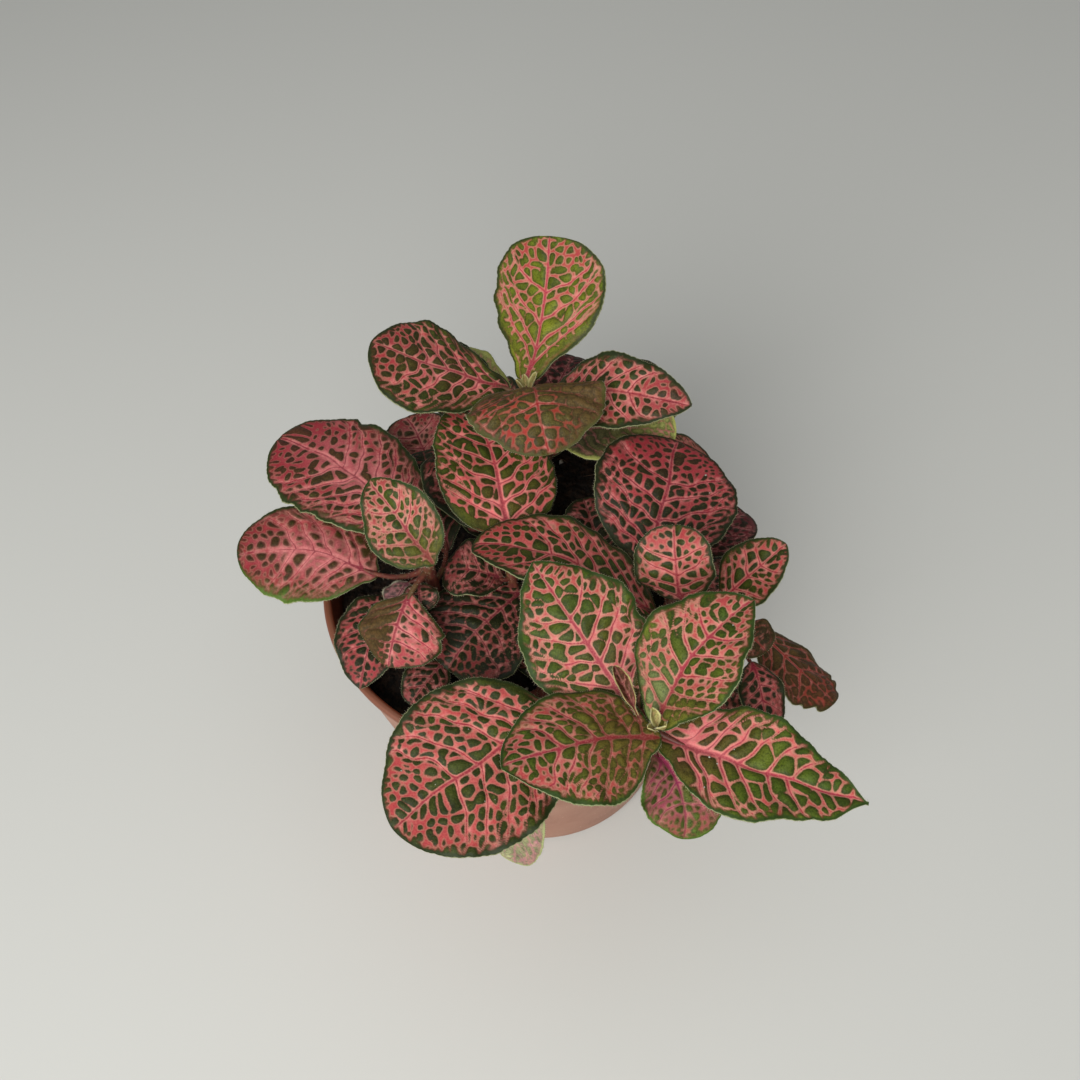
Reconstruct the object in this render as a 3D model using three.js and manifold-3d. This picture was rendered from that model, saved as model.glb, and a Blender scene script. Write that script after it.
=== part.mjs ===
// A potted nerve plant: a low, net-leaved house plant filling a round plastic nursery pot.
// Millimetres, +Z up. The origin is the centre of the pot's foot, on the surface that it stands on,
// and the plant's front, the side that its longest leaf leans out over, is towards -Y.

import * as THREE from 'three';
import { mergeVertices } from 'three/addons/utils/BufferGeometryUtils.js';
import Module from 'manifold-3d';

const wasm = await Module();
wasm.setup();

// Pot
const potHeight = 111;
const rimRadius = 60;
const footRadius = 45;
const wallThickness = 1.5;
const lipHeight = 3;
const lipOverhang = 0.8;
const edgeRound = 0.6;
const footRingWidth = 6;
const channelDepth = 2;
const padRadius = 24;
const drainHoles = 6;
const drainHoleRadius = 3.5;
const potSides = 40;

// Soil
const soilLevel = 101;
const soilSides = 22;
const soilRings = 4;
const soilRelief = 1.3;
const rootDepth = 9;

// Leaves and stems
const clearance = 0.3;
const petioleRadius = 0.9;
const petioleSides = 4;
const petioleSteps = 2;
const petioleReach = 0.12;
const petioleBend = 0.35;
const stemSides = 6;
const stemSteps = 4;
const budWidth = 3;
const budPitch = 68;
const budSink = 1;
const largeLeafWidth = 22;
const largeLeafGrid = [8, 4];
const smallLeafGrid = [5, 4];
const lowLeafGrid = [4, 2];
const budGrid = [3, 2];
const budRoom = 0.7;

const leafDefaults = {
  at: 0.95,
  thick: 0.8,
  least: 1.6,
  roll: 0,
  bend: 0,
  rise: 3,
  fold: 6,
  wave: 0.7,
  waves: 2,
  phase: 0,
  shape: [0.6, 0.5],
};

// Each shoot is a stem that stands in the soil at its root, goes through the points of its path and
// ends in a bud of the given length, turned by budTurn, with its leaves. A leaf's blade runs from base
// to tip and is wide across. rise and bend arch its midrib up and to its side, roll turns it about
// its length, fold lifts its halves, wave and waves ruffle its edge, and shape holds how quickly it
// widens and narrows. at is how far up the stem its stalk leaves. A shoot's low leaves are the small
// ones that grow fused to its stem, under the others.
const shoots = {
  back: {
    root: [2, 25],
    path: [[3, 28, 118], [4, 34, 151]],
    radius: 1.7,
    bud: 7,
    budTurn: 20,
    leaves: [
      { base: [4, 38, 153], tip: [12, 67, 179], wide: 38, roll: 20, rise: -3, fold: -3,
        shape: [0.8, 0.42] },
      { base: [-3, 37, 150], tip: [-39, 40, 167], wide: 33, roll: 3, rise: 1, bend: -2, fold: -5,
        shape: [0.95, 0.6] },
      { base: [12, 34, 149], tip: [49, 17, 161], wide: 22, roll: -25, rise: 6, shape: [0.66, 0.74] },
      { base: [5, 29, 156], tip: [10, 3, 159], wide: 38, rise: 9, fold: -4, wave: 1.5 },
      { base: [-3, 40, 133], tip: [-24, 69, 134], wide: 17, at: 0.72 },
      { base: [8, 41, 131], tip: [18, 66, 132], wide: 19, at: 0.62 },
      { base: [12, 33, 132], tip: [47, 29, 136], wide: 28, at: 0.7 },
      { base: [-1, 38, 120], tip: [-22, 75, 110], wide: 28, rise: 4, at: 0.56 },
      { base: [10, 40, 117], tip: [17, 78, 107], wide: 27, rise: 4, at: 0.46 },
    ],
    lowLeaves: [
      { base: [-8, 40, 146], tip: [-33, 55, 141], wide: 22, at: 0.88 },
      { base: [17, 35, 141], tip: [45, 43, 144], wide: 22, at: 0.8 },
      { base: [15, 36, 127], tip: [41, 51, 121], wide: 23, at: 0.6 },
    ],
  },
  front: {
    root: [20, -36],
    path: [[24, -44, 116], [35, -69, 143]],
    radius: 1.7,
    bud: 5,
    budTurn: 125,
    leaves: [
      { base: [33, -72, 146], tip: [-1, -81, 151], wide: 33, roll: -10, rise: 0, bend: 2.4, fold: -6,
        shape: [0.5, 0.75] },
      { base: [36, -66, 147], tip: [58, -46, 163], wide: 30, roll: 15, bend: -1.3, fold: 8,
        shape: [0.6, 0.83] },
      { base: [39, -70, 139], tip: [82, -86, 138], wide: 28, rise: 1, bend: 1, fold: 10,
        shape: [0.65, 1.1] },
      { base: [29, -60, 137], tip: [6, -28, 155], wide: 32, roll: 14, rise: 3.5, fold: -4,
        shape: [0.68, 0.85] },
      { base: [30, -64, 147], tip: [26, -54, 152], wide: 6, rise: 0, fold: 45, wave: 0 },
      { base: [37, -67, 124], tip: [43, -87, 118], wide: 22, roll: 15, bend: -2, shape: [0.7, 0.6],
        at: 0.7 },
    ],
    lowLeaves: [
      { base: [39, -57, 138], tip: [55, -42, 134], wide: 18, at: 0.85 },
      { base: [23, -61, 133], tip: [5, -72, 131], wide: 17, at: 0.72 },
    ],
  },
  low: {
    root: [4, -34],
    path: [[6, -42, 112], [9, -53, 126]],
    radius: 1.5,
    bud: 4,
    budTurn: 0,
    leaves: [
      { base: [9, -57, 129], tip: [-30, -85, 126], wide: 44, roll: 10, rise: 1.5, fold: 4,
        shape: [0.54, 0.6] },
      { base: [3, -66, 113], tip: [-3, -81, 86], wide: 16, at: 0.72 },
      { base: [6, -40, 114], tip: [5, -20, 110], wide: 20, at: 0.6 },
    ],
    lowLeaves: [
      { base: [0, -56, 118], tip: [-15, -81, 112], wide: 22, at: 0.6 },
      { base: [13, -50, 118], tip: [29, -66, 113], wide: 18, at: 0.6 },
      { base: [-6, -49, 115], tip: [-32, -64, 109], wide: 23, at: 0.5 },
    ],
  },
  left: {
    root: [-22, -8],
    path: [[-24, -12, 116], [-24, -16, 138]],
    radius: 1.6,
    bud: 6,
    budTurn: 70,
    leaves: [
      { base: [-43, 12, 134], tip: [-63, 48, 129], wide: 39, roll: -9, rise: -1.6, bend: -3, fold: -2,
        shape: [0.51, 0.42] },
      { base: [-43, -8, 122], tip: [-82, -3, 126], wide: 32, roll: 7, rise: 1.2, bend: 3.7, fold: -6,
        shape: [0.51, 0.45] },
      { base: [-22, -18, 142], tip: [-38, 1, 154], wide: 21, roll: 25, rise: 1.4, fold: 14,
        shape: [0.51, 0.72] },
      { base: [-29, -24, 134], tip: [-35, -40, 124], wide: 27, fold: -22, rise: 2, at: 0.9 },
      { base: [-38, -13, 117], tip: [-44, -42, 116], wide: 21, rise: 4, shape: [0.53, 0.7], at: 0.5 },
      { base: [-40, 6, 117], tip: [-62, 20, 118], wide: 26, at: 0.55 },
      { base: [-21, 0, 124], tip: [-30, 34, 126], wide: 18, at: 0.7 },
      { base: [-22, -32, 111], tip: [-31, -44, 109], wide: 14, rise: 1, at: 0.4 },
      { base: [-31, -15, 127], tip: [-35, -22, 125], wide: 9, rise: 1, at: 0.75 },
      { base: [-27, -18, 131], tip: [-26, -26, 129], wide: 10, rise: 1, at: 0.85 },
    ],
    lowLeaves: [
      { base: [-12, -4, 114], tip: [14, 11, 108], wide: 23, at: 0.4 },
    ],
  },
  middle: {
    root: [-2, -13],
    path: [[-2, -12, 114], [-2, -9, 131]],
    radius: 1.6,
    bud: 4,
    budTurn: 0,
    leaves: [
      { base: [-2, -5, 136], tip: [-15, 35, 146], wide: 36, roll: -20, rise: 4.7, fold: 3,
        shape: [0.4, 0.66] },
      { base: [-5, -13, 124], tip: [-21, -11, 126], wide: 19, at: 0.75 },
      { base: [1, -13, 118], tip: [-20, -37, 116], wide: 33, shape: [0.7, 0.46], at: 0.55 },
    ],
    lowLeaves: [
      { base: [-9, 2, 129], tip: [-24, 27, 133], wide: 21, at: 0.9 },
      { base: [10, -19, 117], tip: [36, -34, 111], wide: 23, at: 0.5 },
      { base: [-6, 2, 121], tip: [-13, 31, 114], wide: 23, at: 0.6 },
    ],
  },
  right: {
    root: [40, -18],
    path: [[42, -20, 116], [43, -24, 136]],
    radius: 1.6,
    bud: 5,
    budTurn: 0,
    leaves: [
      { base: [37, -12, 127], tip: [47, 25, 137], wide: 42, roll: -15, rise: 5, bend: -1, fold: 0,
        at: 0.8 },
      { base: [37, -29, 128], tip: [-11, -13, 142], wide: 30, roll: -20, rise: 7, fold: 8, at: 0.85 },
      { base: [44, -29, 137], tip: [42, -18, 155], wide: 21, roll: 26, rise: 3.4, shape: [0.58, 0.45] },
      { base: [57, -22, 125], tip: [73, -14, 139], wide: 18, rise: 1, shape: [0.51, 0.65], at: 0.75 },
      { base: [52, 1, 113], tip: [68, 16, 113], wide: 20, at: 0.5 },
    ],
    lowLeaves: [
      { base: [39, -7, 123], tip: [31, 21, 126], wide: 21, at: 0.6 },
    ],
  },
  edge: {
    root: [43, -22],
    path: [[46, -24, 110], [56, -31, 121]],
    radius: 1.3,
    bud: 3,
    budTurn: 0,
    leaves: [
      { base: [65, -27, 118], tip: [85, -48, 112], wide: 21, roll: 23, rise: 0, fold: -10,
        shape: [0.58, 0.4], at: 0.8 },
      { base: [62, -43, 126], tip: [64, -60, 122], wide: 12 },
      { base: [59, -32, 126], tip: [66, -40, 127], wide: 13, rise: 1 },
    ],
    lowLeaves: [
      { base: [51, -39, 116], tip: [58, -67, 110], wide: 22, at: 0.6 },
      { base: [52, -18, 113], tip: [69, -1, 108], wide: 18, at: 0.5 },
    ],
  },
  hind: {
    root: [-25, 14],
    path: [[-26, 17, 106], [-27, 21, 115]],
    radius: 1.4,
    bud: 5,
    budTurn: 0,
    leaves: [
      { base: [-27, 32, 117], tip: [-37, 51, 123], wide: 23, rise: 2 },
      { base: [-32, 26, 115], tip: [-58, 52, 107], wide: 28, rise: 4, at: 0.75 },
    ],
    lowLeaves: [],
  },
  small: {
    root: [22, -6],
    path: [[23, -5, 106], [24, -4, 115]],
    radius: 1.2,
    bud: 3,
    budTurn: 45,
    leaves: [
      { base: [24, -2, 118], tip: [19, 15, 124], wide: 16, rise: 2 },
      { base: [27, -5, 112], tip: [44, 8, 112], wide: 20, at: 0.8 },
    ],
    lowLeaves: [],
  },
  corner: {
    root: [26, 26],
    path: [[28, 29, 106], [30, 32, 115]],
    radius: 1.4,
    bud: 5,
    budTurn: 90,
    leaves: [
      { base: [36, 30, 117], tip: [61, 33, 109], wide: 26, rise: 4 },
      { base: [32, 41, 115], tip: [45, 71, 105], wide: 22, rise: 4, at: 0.8 },
    ],
    lowLeaves: [],
  },
};

const colours = {
  pot: 0xa8665a,
  soil: 0x1b1513,
  stem: 0x9a6a5c,
  leaf: 0xa8555a,
};

const radians = THREE.MathUtils.degToRad;
const vector = (p) => new THREE.Vector3(...p);

// A closed mesh from its corner points and its flat list of triangles.
function geometryOf(points, triangles) {
  const geometry = new THREE.BufferGeometry();
  geometry.setAttribute('position', new THREE.Float32BufferAttribute(points.flat(), 3));
  geometry.setIndex(triangles);
  return geometry;
}

function merged(geometry) {
  const bare = geometry.clone();
  bare.deleteAttribute('normal');
  bare.deleteAttribute('uv');
  return mergeVertices(bare, 1e-4);
}

function solidOf(geometry) {
  const bare = merged(geometry);
  return new wasm.Manifold(new wasm.Mesh({
    numProp: 3,
    vertProperties: Float32Array.from(bare.attributes.position.array),
    triVerts: Uint32Array.from(bare.index.array),
  }));
}

function geometryOfSolid(solid) {
  const mesh = solid.getMesh();
  const geometry = new THREE.BufferGeometry();
  const points = new Float32Array(mesh.numVert * 3);
  for (let i = 0; i < mesh.numVert; i += 1) {
    for (let k = 0; k < 3; k += 1) points[i * 3 + k] = mesh.vertProperties[i * mesh.numProp + k];
  }
  geometry.setAttribute('position', new THREE.BufferAttribute(points, 3));
  geometry.setIndex([...mesh.triVerts]);
  geometry.computeVertexNormals();
  return geometry;
}

function materialOf(colour, roughness) {
  return new THREE.MeshStandardMaterial({ color: colour, roughness, metalness: 0 });
}

function namedMesh(name, geometry, material) {
  const mesh = new THREE.Mesh(geometry, material);
  mesh.name = name;
  return mesh;
}

// A profile of [radius, height] points turned round the Z axis.
function turned(profile, sides) {
  const geometry = new THREE.LatheGeometry(profile.map(([r, z]) => new THREE.Vector2(r, z)), sides);
  return geometry.rotateX(Math.PI / 2);
}

// A round rod along a smooth path, closed at both ends.
function rod(path, radius, sides, steps) {
  const section = new THREE.Shape();
  for (let i = 0; i < sides; i += 1) {
    const turn = (2 * Math.PI * i) / sides;
    const point = [radius * Math.cos(turn), radius * Math.sin(turn)];
    if (i === 0) section.moveTo(...point);
    else section.lineTo(...point);
  }
  section.closePath();
  return new THREE.ExtrudeGeometry(section, { extrudePath: path, steps, bevelEnabled: false });
}

// Blade

// The two edges ruffle out of step, by this part of a wave.
const otherSidePhase = 0.37;

// Where a leaf's midrib is at s, from 0 at its base to 1 at its tip, with the directions across it.
function midrib(leaf, s) {
  const base = vector(leaf.base);
  const tip = vector(leaf.tip);
  const along = tip.clone().sub(base).normalize();
  const level = along.clone().cross(new THREE.Vector3(0, 0, 1)).normalize();
  const steep = level.clone().cross(along);
  const roll = radians(leaf.roll);
  const side = level.clone().multiplyScalar(Math.cos(roll)).addScaledVector(steep, Math.sin(roll));
  const up = steep.clone().multiplyScalar(Math.cos(roll)).addScaledVector(level, -Math.sin(roll));
  const knee = base.clone().add(tip).multiplyScalar(0.5);
  knee.addScaledVector(up, 2 * leaf.rise).addScaledVector(side, 2 * leaf.bend);
  const curve = new THREE.QuadraticBezierCurve3(base, knee, tip);
  const point = curve.getPoint(s);
  const forward = knee.clone().sub(base).multiplyScalar(1 - s).addScaledVector(tip.clone().sub(knee), s);
  forward.normalize();
  const across = side.clone().addScaledVector(forward, -side.dot(forward)).normalize();
  const outward = across.clone().cross(forward);
  return { point, forward, across, outward };
}

// How full the blade is at s, 1 at its widest.
function fullness(leaf, s) {
  const [a, b] = leaf.shape;
  const widest = a / (a + b);
  return (s ** a * (1 - s) ** b) / (widest ** a * (1 - widest) ** b);
}

// A point of the blade's middle surface: s along the midrib, t across it from -1 to 1.
function bladePoint(leaf, s, t) {
  const { point, across, outward } = midrib(leaf, s);
  const half = Math.max(leaf.wide * fullness(leaf, s), leaf.least) / 2;
  const out = Math.abs(t);
  const fold = radians(leaf.fold);
  const offset = (t > 0 ? 0 : otherSidePhase) + leaf.phase;
  const ruffle = Math.sin(2 * Math.PI * (leaf.waves * s + offset)) * Math.sqrt(Math.sin(Math.PI * s));
  const lift = out * Math.sin(fold) * half + leaf.wave * out ** 3 * ruffle;
  return point.clone().addScaledVector(across, t * Math.cos(fold) * half).addScaledVector(outward, lift);
}

// The blade as a sheet of even thickness, split alike on both faces.
function blade(leaf) {
  const usualGrid = leaf.wide >= largeLeafWidth ? largeLeafGrid : smallLeafGrid;
  const [lengthSteps, crossSteps] = leaf.grid ?? usualGrid;
  const columns = crossSteps + 1;
  const points = [];
  for (const face of [1, -1]) {
    for (let i = 0; i <= lengthSteps; i += 1) {
      const s = i / lengthSteps;
      const { outward } = midrib(leaf, s);
      for (let j = 0; j <= crossSteps; j += 1) {
        const place = bladePoint(leaf, s, -1 + (2 * j) / crossSteps);
        place.addScaledVector(outward, (face * leaf.thick) / 2);
        points.push(place.toArray());
      }
    }
  }
  const under = (lengthSteps + 1) * columns;
  const at = (i, j) => i * columns + j;
  const triangles = [];
  const quad = (a, b, c, d) => triangles.push(a, b, c, a, c, d);
  for (let i = 0; i < lengthSteps; i += 1) {
    for (let j = 0; j < crossSteps; j += 1) {
      const corners = [at(i, j), at(i + 1, j), at(i + 1, j + 1), at(i, j + 1)];
      const flipped = j < crossSteps / 2;
      const [a, b, c, d] = flipped ? [corners[1], corners[2], corners[3], corners[0]] : corners;
      quad(d, c, b, a);
      triangles.push(a + under, b + under, c + under, a + under, c + under, d + under);
    }
  }
  for (let i = 0; i < lengthSteps; i += 1) {
    quad(at(i, 0), at(i + 1, 0), at(i + 1, 0) + under, at(i, 0) + under);
    const j = crossSteps;
    quad(at(i + 1, j), at(i, j), at(i, j) + under, at(i + 1, j) + under);
  }
  for (let j = 0; j < crossSteps; j += 1) {
    quad(at(0, j + 1), at(0, j), at(0, j) + under, at(0, j + 1) + under);
    const i = lengthSteps;
    quad(at(i, j), at(i, j + 1), at(i, j + 1) + under, at(i, j) + under);
  }
  return geometryOf(points, triangles);
}

// The one body left where a cut also frees small scraps.
function largestBody(solid) {
  const bodies = solid.decompose();
  return bodies.reduce((most, body) => (body.volume() > most.volume() ? body : most));
}

// The blade and its stalk, which leaves the stem and comes into the blade along the midrib.
function stalkedBlade(leaf, stemCurve) {
  const start = stemCurve.getPoint(leaf.at);
  const { point, forward } = midrib(leaf, petioleReach);
  const bend = vector(leaf.base).addScaledVector(forward, -petioleBend * start.distanceTo(point));
  const path = new THREE.QuadraticBezierCurve3(start, bend, point);
  return solidOf(blade(leaf)).add(solidOf(rod(path, petioleRadius, petioleSides, petioleSteps)));
}

function leafSolid(leaf, stem) {
  return largestBody(stalkedBlade(leaf, stem.curve).subtract(stem.room).subtract(stem.budSpace));
}

// Stem

// A pair of closed young leaves at the stem's tip, made larger by grow for the room round them.
function budSolid(foot, long, heading, grow) {
  const pair = [0, 180].map((turn) => {
    const bearing = radians(heading + turn);
    const reach = (long + grow) * Math.cos(radians(budPitch));
    const tip = [
      foot.x + reach * Math.cos(bearing),
      foot.y + reach * Math.sin(bearing),
      foot.z + (long + grow) * Math.sin(radians(budPitch)),
    ];
    const young = {
      ...leafDefaults,
      base: [foot.x, foot.y, foot.z - budSink - grow],
      tip,
      rise: 0.5,
      wave: 0,
      wide: budWidth + 2 * grow,
      least: leafDefaults.least + 2 * grow,
      thick: leafDefaults.thick + 2 * grow,
      grid: budGrid,
    };
    return solidOf(blade(young));
  });
  return pair[0].add(pair[1]);
}

function stemOf({ root, path, radius, bud, budTurn, lowLeaves }) {
  const curveFrom = (depth) => {
    const points = [[...root, soilLevel - depth], ...path];
    return new THREE.CatmullRomCurve3(points.map(vector));
  };
  const curve = curveFrom(rootDepth);
  const foot = curve.getPoint(1);
  let solid = solidOf(rod(curve, radius, stemSides, stemSteps)).add(budSolid(foot, bud, budTurn, 0));
  for (const details of lowLeaves) {
    solid = solid.add(stalkedBlade({ ...leafDefaults, ...details, grid: lowLeafGrid }, curve));
  }
  const room = solidOf(rod(curveFrom(rootDepth + clearance), radius + clearance, stemSides, stemSteps));
  return { curve, solid, room, budSpace: budSolid(foot, bud, budTurn, budRoom) };
}

// Pot and soil

const outerRadius = (z) => footRadius + ((rimRadius - lipOverhang - footRadius) * z) / potHeight;
const innerRadius = (z) => outerRadius(z) - wallThickness;
const floorTop = channelDepth + wallThickness;

function potSolid() {
  const lipFoot = potHeight - lipHeight;
  const profile = [
    [0, 0],
    [padRadius, 0],
    [padRadius + channelDepth, channelDepth],
    [footRadius - footRingWidth, channelDepth],
    [footRadius - footRingWidth + channelDepth, 0],
    [footRadius - channelDepth, 0],
    [outerRadius(channelDepth), channelDepth],
    [outerRadius(lipFoot), lipFoot],
    [rimRadius, lipFoot + lipOverhang],
    [rimRadius, potHeight - edgeRound],
    [rimRadius - edgeRound, potHeight],
    [innerRadius(potHeight) + edgeRound, potHeight],
    [innerRadius(potHeight - edgeRound), potHeight - edgeRound],
    [innerRadius(floorTop), floorTop],
    [0, floorTop],
  ];
  const holeRing = (padRadius + footRadius - footRingWidth + channelDepth) / 2;
  let pot = solidOf(turned(profile, potSides));
  for (let i = 0; i < drainHoles; i += 1) {
    const turn = (2 * Math.PI * i) / drainHoles;
    const hole = new THREE.CylinderGeometry(drainHoleRadius, drainHoleRadius, 4 * floorTop, 12);
    hole.rotateX(Math.PI / 2).translate(holeRing * Math.cos(turn), holeRing * Math.sin(turn), 0);
    pot = pot.subtract(solidOf(hole));
  }
  return pot;
}

// How far the soil's top stands above its level: low crumbly mounds, dying away at the wall.
function soilHeight(x, y) {
  const mounds = Math.sin(0.19 * x + 1) * Math.cos(0.23 * y) + 0.6 * Math.sin(0.37 * x - 0.31 * y);
  const edge = Math.hypot(x, y) / innerRadius(soilLevel);
  return soilRelief * mounds * (1 - edge ** 4);
}

function soilSolid(stems) {
  const topRadius = innerRadius(soilLevel) - clearance;
  const points = [[0, 0, soilLevel + soilHeight(0, 0)]];
  for (let ring = 1; ring <= soilRings; ring += 1) {
    for (let i = 0; i < soilSides; i += 1) {
      const turn = (2 * Math.PI * i) / soilSides;
      const x = ((topRadius * ring) / soilRings) * Math.cos(turn);
      const y = ((topRadius * ring) / soilRings) * Math.sin(turn);
      points.push([x, y, soilLevel + soilHeight(x, y)]);
    }
  }
  const bottom = floorTop + clearance;
  const bottomRadius = innerRadius(bottom) - clearance;
  for (let i = 0; i < soilSides; i += 1) {
    const turn = (2 * Math.PI * i) / soilSides;
    points.push([bottomRadius * Math.cos(turn), bottomRadius * Math.sin(turn), bottom]);
  }
  points.push([0, 0, bottom]);
  const triangles = [];
  for (let i = 0; i < soilSides; i += 1) {
    const next = (i + 1) % soilSides;
    triangles.push(0, 1 + i, 1 + next);
    for (let ring = 0; ring < soilRings; ring += 1) {
      const inner = 1 + ring * soilSides;
      const outer = inner + soilSides;
      triangles.push(inner + i, outer + i, outer + next, inner + i, outer + next, inner + next);
    }
    triangles.push(1 + soilRings * soilSides + i, points.length - 1, 1 + soilRings * soilSides + next);
  }
  let soil = solidOf(geometryOf(points, triangles));
  for (const stem of stems) soil = soil.subtract(stem.room);
  return soil;
}

// Plant

const plant = new THREE.Group();
plant.name = 'potted_nerve_plant';
plant.add(namedMesh('pot', geometryOfSolid(potSolid()), materialOf(colours.pot, 0.6)));

const stems = [];
for (const [shoot, details] of Object.entries(shoots)) {
  const stem = stemOf(details);
  stems.push(stem);
  plant.add(namedMesh(`${shoot}_stem`, geometryOfSolid(stem.solid), materialOf(colours.stem, 0.7)));
  details.leaves.forEach((leaf, i) => {
    const solid = leafSolid({ ...leafDefaults, ...leaf }, stem);
    const name = `${shoot}_leaf_${i + 1}`;
    plant.add(namedMesh(name, geometryOfSolid(solid), materialOf(colours.leaf, 0.6)));
  });
}
plant.add(namedMesh('soil', geometryOfSolid(soilSolid(stems)), materialOf(colours.soil, 0.95)));

export default plant;
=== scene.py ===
import math
import zlib

import bpy
import numpy as np
from mathutils import Matrix


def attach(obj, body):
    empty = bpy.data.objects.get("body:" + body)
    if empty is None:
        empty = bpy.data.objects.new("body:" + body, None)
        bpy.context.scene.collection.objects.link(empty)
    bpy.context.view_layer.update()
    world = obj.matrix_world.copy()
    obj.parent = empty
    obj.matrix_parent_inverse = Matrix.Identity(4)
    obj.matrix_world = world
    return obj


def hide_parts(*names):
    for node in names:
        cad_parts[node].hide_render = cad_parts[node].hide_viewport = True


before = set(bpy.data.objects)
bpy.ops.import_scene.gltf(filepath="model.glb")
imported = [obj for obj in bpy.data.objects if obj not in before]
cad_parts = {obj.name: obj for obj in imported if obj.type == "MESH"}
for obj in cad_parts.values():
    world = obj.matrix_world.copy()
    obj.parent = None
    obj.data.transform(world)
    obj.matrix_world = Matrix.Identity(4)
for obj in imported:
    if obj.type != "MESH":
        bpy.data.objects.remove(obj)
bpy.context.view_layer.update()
mm = 0.001  # the plant is measured in millimetres, and every mesh is in metres
print("frame loaded,", len(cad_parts), "nodes")


# camera

view = dict(
    place=(19.8, -173.4, 370.5),  # mm, in front of the pot and well above it
    right=(0.9985, 0.0, -0.0555),
    down=(-0.0319, -0.8177, -0.5748),
    forward=(-0.0454, 0.5757, -0.8164),
    lens=34.67,
    sensor=36,
    clip=(0.01, 20),
)
camera = bpy.data.objects.new("camera", bpy.data.cameras.new("camera"))
camera.data.lens = view["lens"]
camera.data.sensor_width = view["sensor"]
camera.data.clip_start, camera.data.clip_end = view["clip"]
aim = Matrix.Identity(4)
for row in range(3):
    aim[row][0] = view["right"][row]
    aim[row][1] = -view["down"][row]
    aim[row][2] = -view["forward"][row]
    aim[row][3] = view["place"][row] * mm
camera.matrix_world = aim
bpy.context.scene.collection.objects.link(camera)
bpy.context.scene.camera = camera
bpy.context.scene.view_settings.view_transform = "Standard"


# small helpers

def tint(red, green, blue):  # a colour read as 0 to 255, made linear
    values = np.array([red, green, blue]) / 255
    return np.where(values <= 0.04045, values / 12.92, ((values + 0.055) / 1.055) ** 2.4)


def unit(v):
    return v / np.linalg.norm(v, axis=-1, keepdims=True)


def ease(x, low, high):
    f = np.clip((x - low) / (high - low), 0, 1)
    return f * f * (3 - 2 * f)


def mix(a, b, f):
    return a + (b - a) * f


def drawFor(name):  # the same random draw every run, its own for each piece
    return np.random.default_rng(zlib.crc32(name.encode()))


def ripples(draw, x, y, size, count=5):  # a smooth random surface, about -1 to 1, with bumps that size
    total = np.zeros(np.broadcast(x, y).shape)
    for _ in range(count):
        turn = draw.uniform(0, 2 * math.pi)
        wave = draw.uniform(0.7, 1.5) * 2 * math.pi / size
        total += np.sin(wave * (x * math.cos(turn) + y * math.sin(turn)) + draw.uniform(0, 6.28))
    return total / math.sqrt(count)


def makeMesh(name, points, quads, triangles, materials, slots=None):  # points in mm
    mesh = bpy.data.meshes.new(name)
    quads = np.asarray(quads, int).reshape(-1, 4)
    triangles = np.asarray(triangles, int).reshape(-1, 3)
    corners = np.concatenate([quads.ravel(), triangles.ravel()])
    starts = [np.arange(len(quads)) * 4, len(quads) * 4 + np.arange(len(triangles)) * 3]
    starts = np.concatenate(starts)
    mesh.vertices.add(len(points))
    mesh.vertices.foreach_set("co", (np.asarray(points, float) * mm).ravel())
    mesh.loops.add(len(corners))
    mesh.loops.foreach_set("vertex_index", corners)
    mesh.polygons.add(len(starts))
    mesh.polygons.foreach_set("loop_start", starts)
    for material in materials:
        mesh.materials.append(material)
    if slots is not None:
        mesh.polygons.foreach_set("material_index", np.asarray(slots, int))
    mesh.update(calc_edges=True)
    mesh.shade_smooth()
    piece = bpy.data.objects.new(name, mesh)
    bpy.context.scene.collection.objects.link(piece)
    return piece


def placePiece(piece, slot, *nodes):
    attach(piece, "root")
    if nodes:
        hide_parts(*nodes)
    return piece


def ringFaces(rings, sides, start, low, high, flipped=False):
    # quads between rings of points, the first at start, and fans from the end rings to points low and high
    here = np.arange(sides)
    after = (here + 1) % sides
    ring = start + np.arange(rings - 1)[:, None] * sides
    quads = [ring + here, ring + after, ring + sides + after, ring + sides + here]
    quads = np.stack(quads, -1).reshape(-1, 4)
    end = start + (rings - 1) * sides
    fans = [np.stack([np.full(sides, low), start + after, start + here], -1)]
    fans.append(np.stack([np.full(sides, high), end + here, end + after], -1))
    fans = np.concatenate(fans)
    return (quads[:, [0, 3, 2, 1]], fans[:, [0, 2, 1]]) if flipped else (quads, fans)


def turnsOf(sides):  # the angles of points round a circle
    return np.arange(sides) * 2 * math.pi / sides


def runOf(path):  # how far along a path each of its points is
    return np.concatenate([[0], np.cumsum(np.linalg.norm(np.diff(path, axis=0), axis=1))])


def tube(path, radii, sides):  # rings round a path, with a fan at each end
    path = np.asarray(path, float)
    along = unit(np.gradient(path, axis=0))
    start = np.array([0.0, 0, 1]) if abs(along[0, 2]) < 0.9 else np.array([1.0, 0, 0])
    across = unit(np.cross(along[0], start))
    turn = turnsOf(sides)
    rings = []
    for k in range(len(path)):
        across = unit(across - along[k] * across.dot(along[k]))
        lift = np.cross(along[k], across)
        ring = np.outer(np.cos(turn), across) + np.outer(np.sin(turn), lift)
        rings.append(path[k] + ring * radii[k])
    points = np.concatenate(rings + [path[:1], path[-1:]])
    return points, *ringFaces(len(path), sides, 0, len(points) - 2, len(points) - 1)


# node helpers

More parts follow.
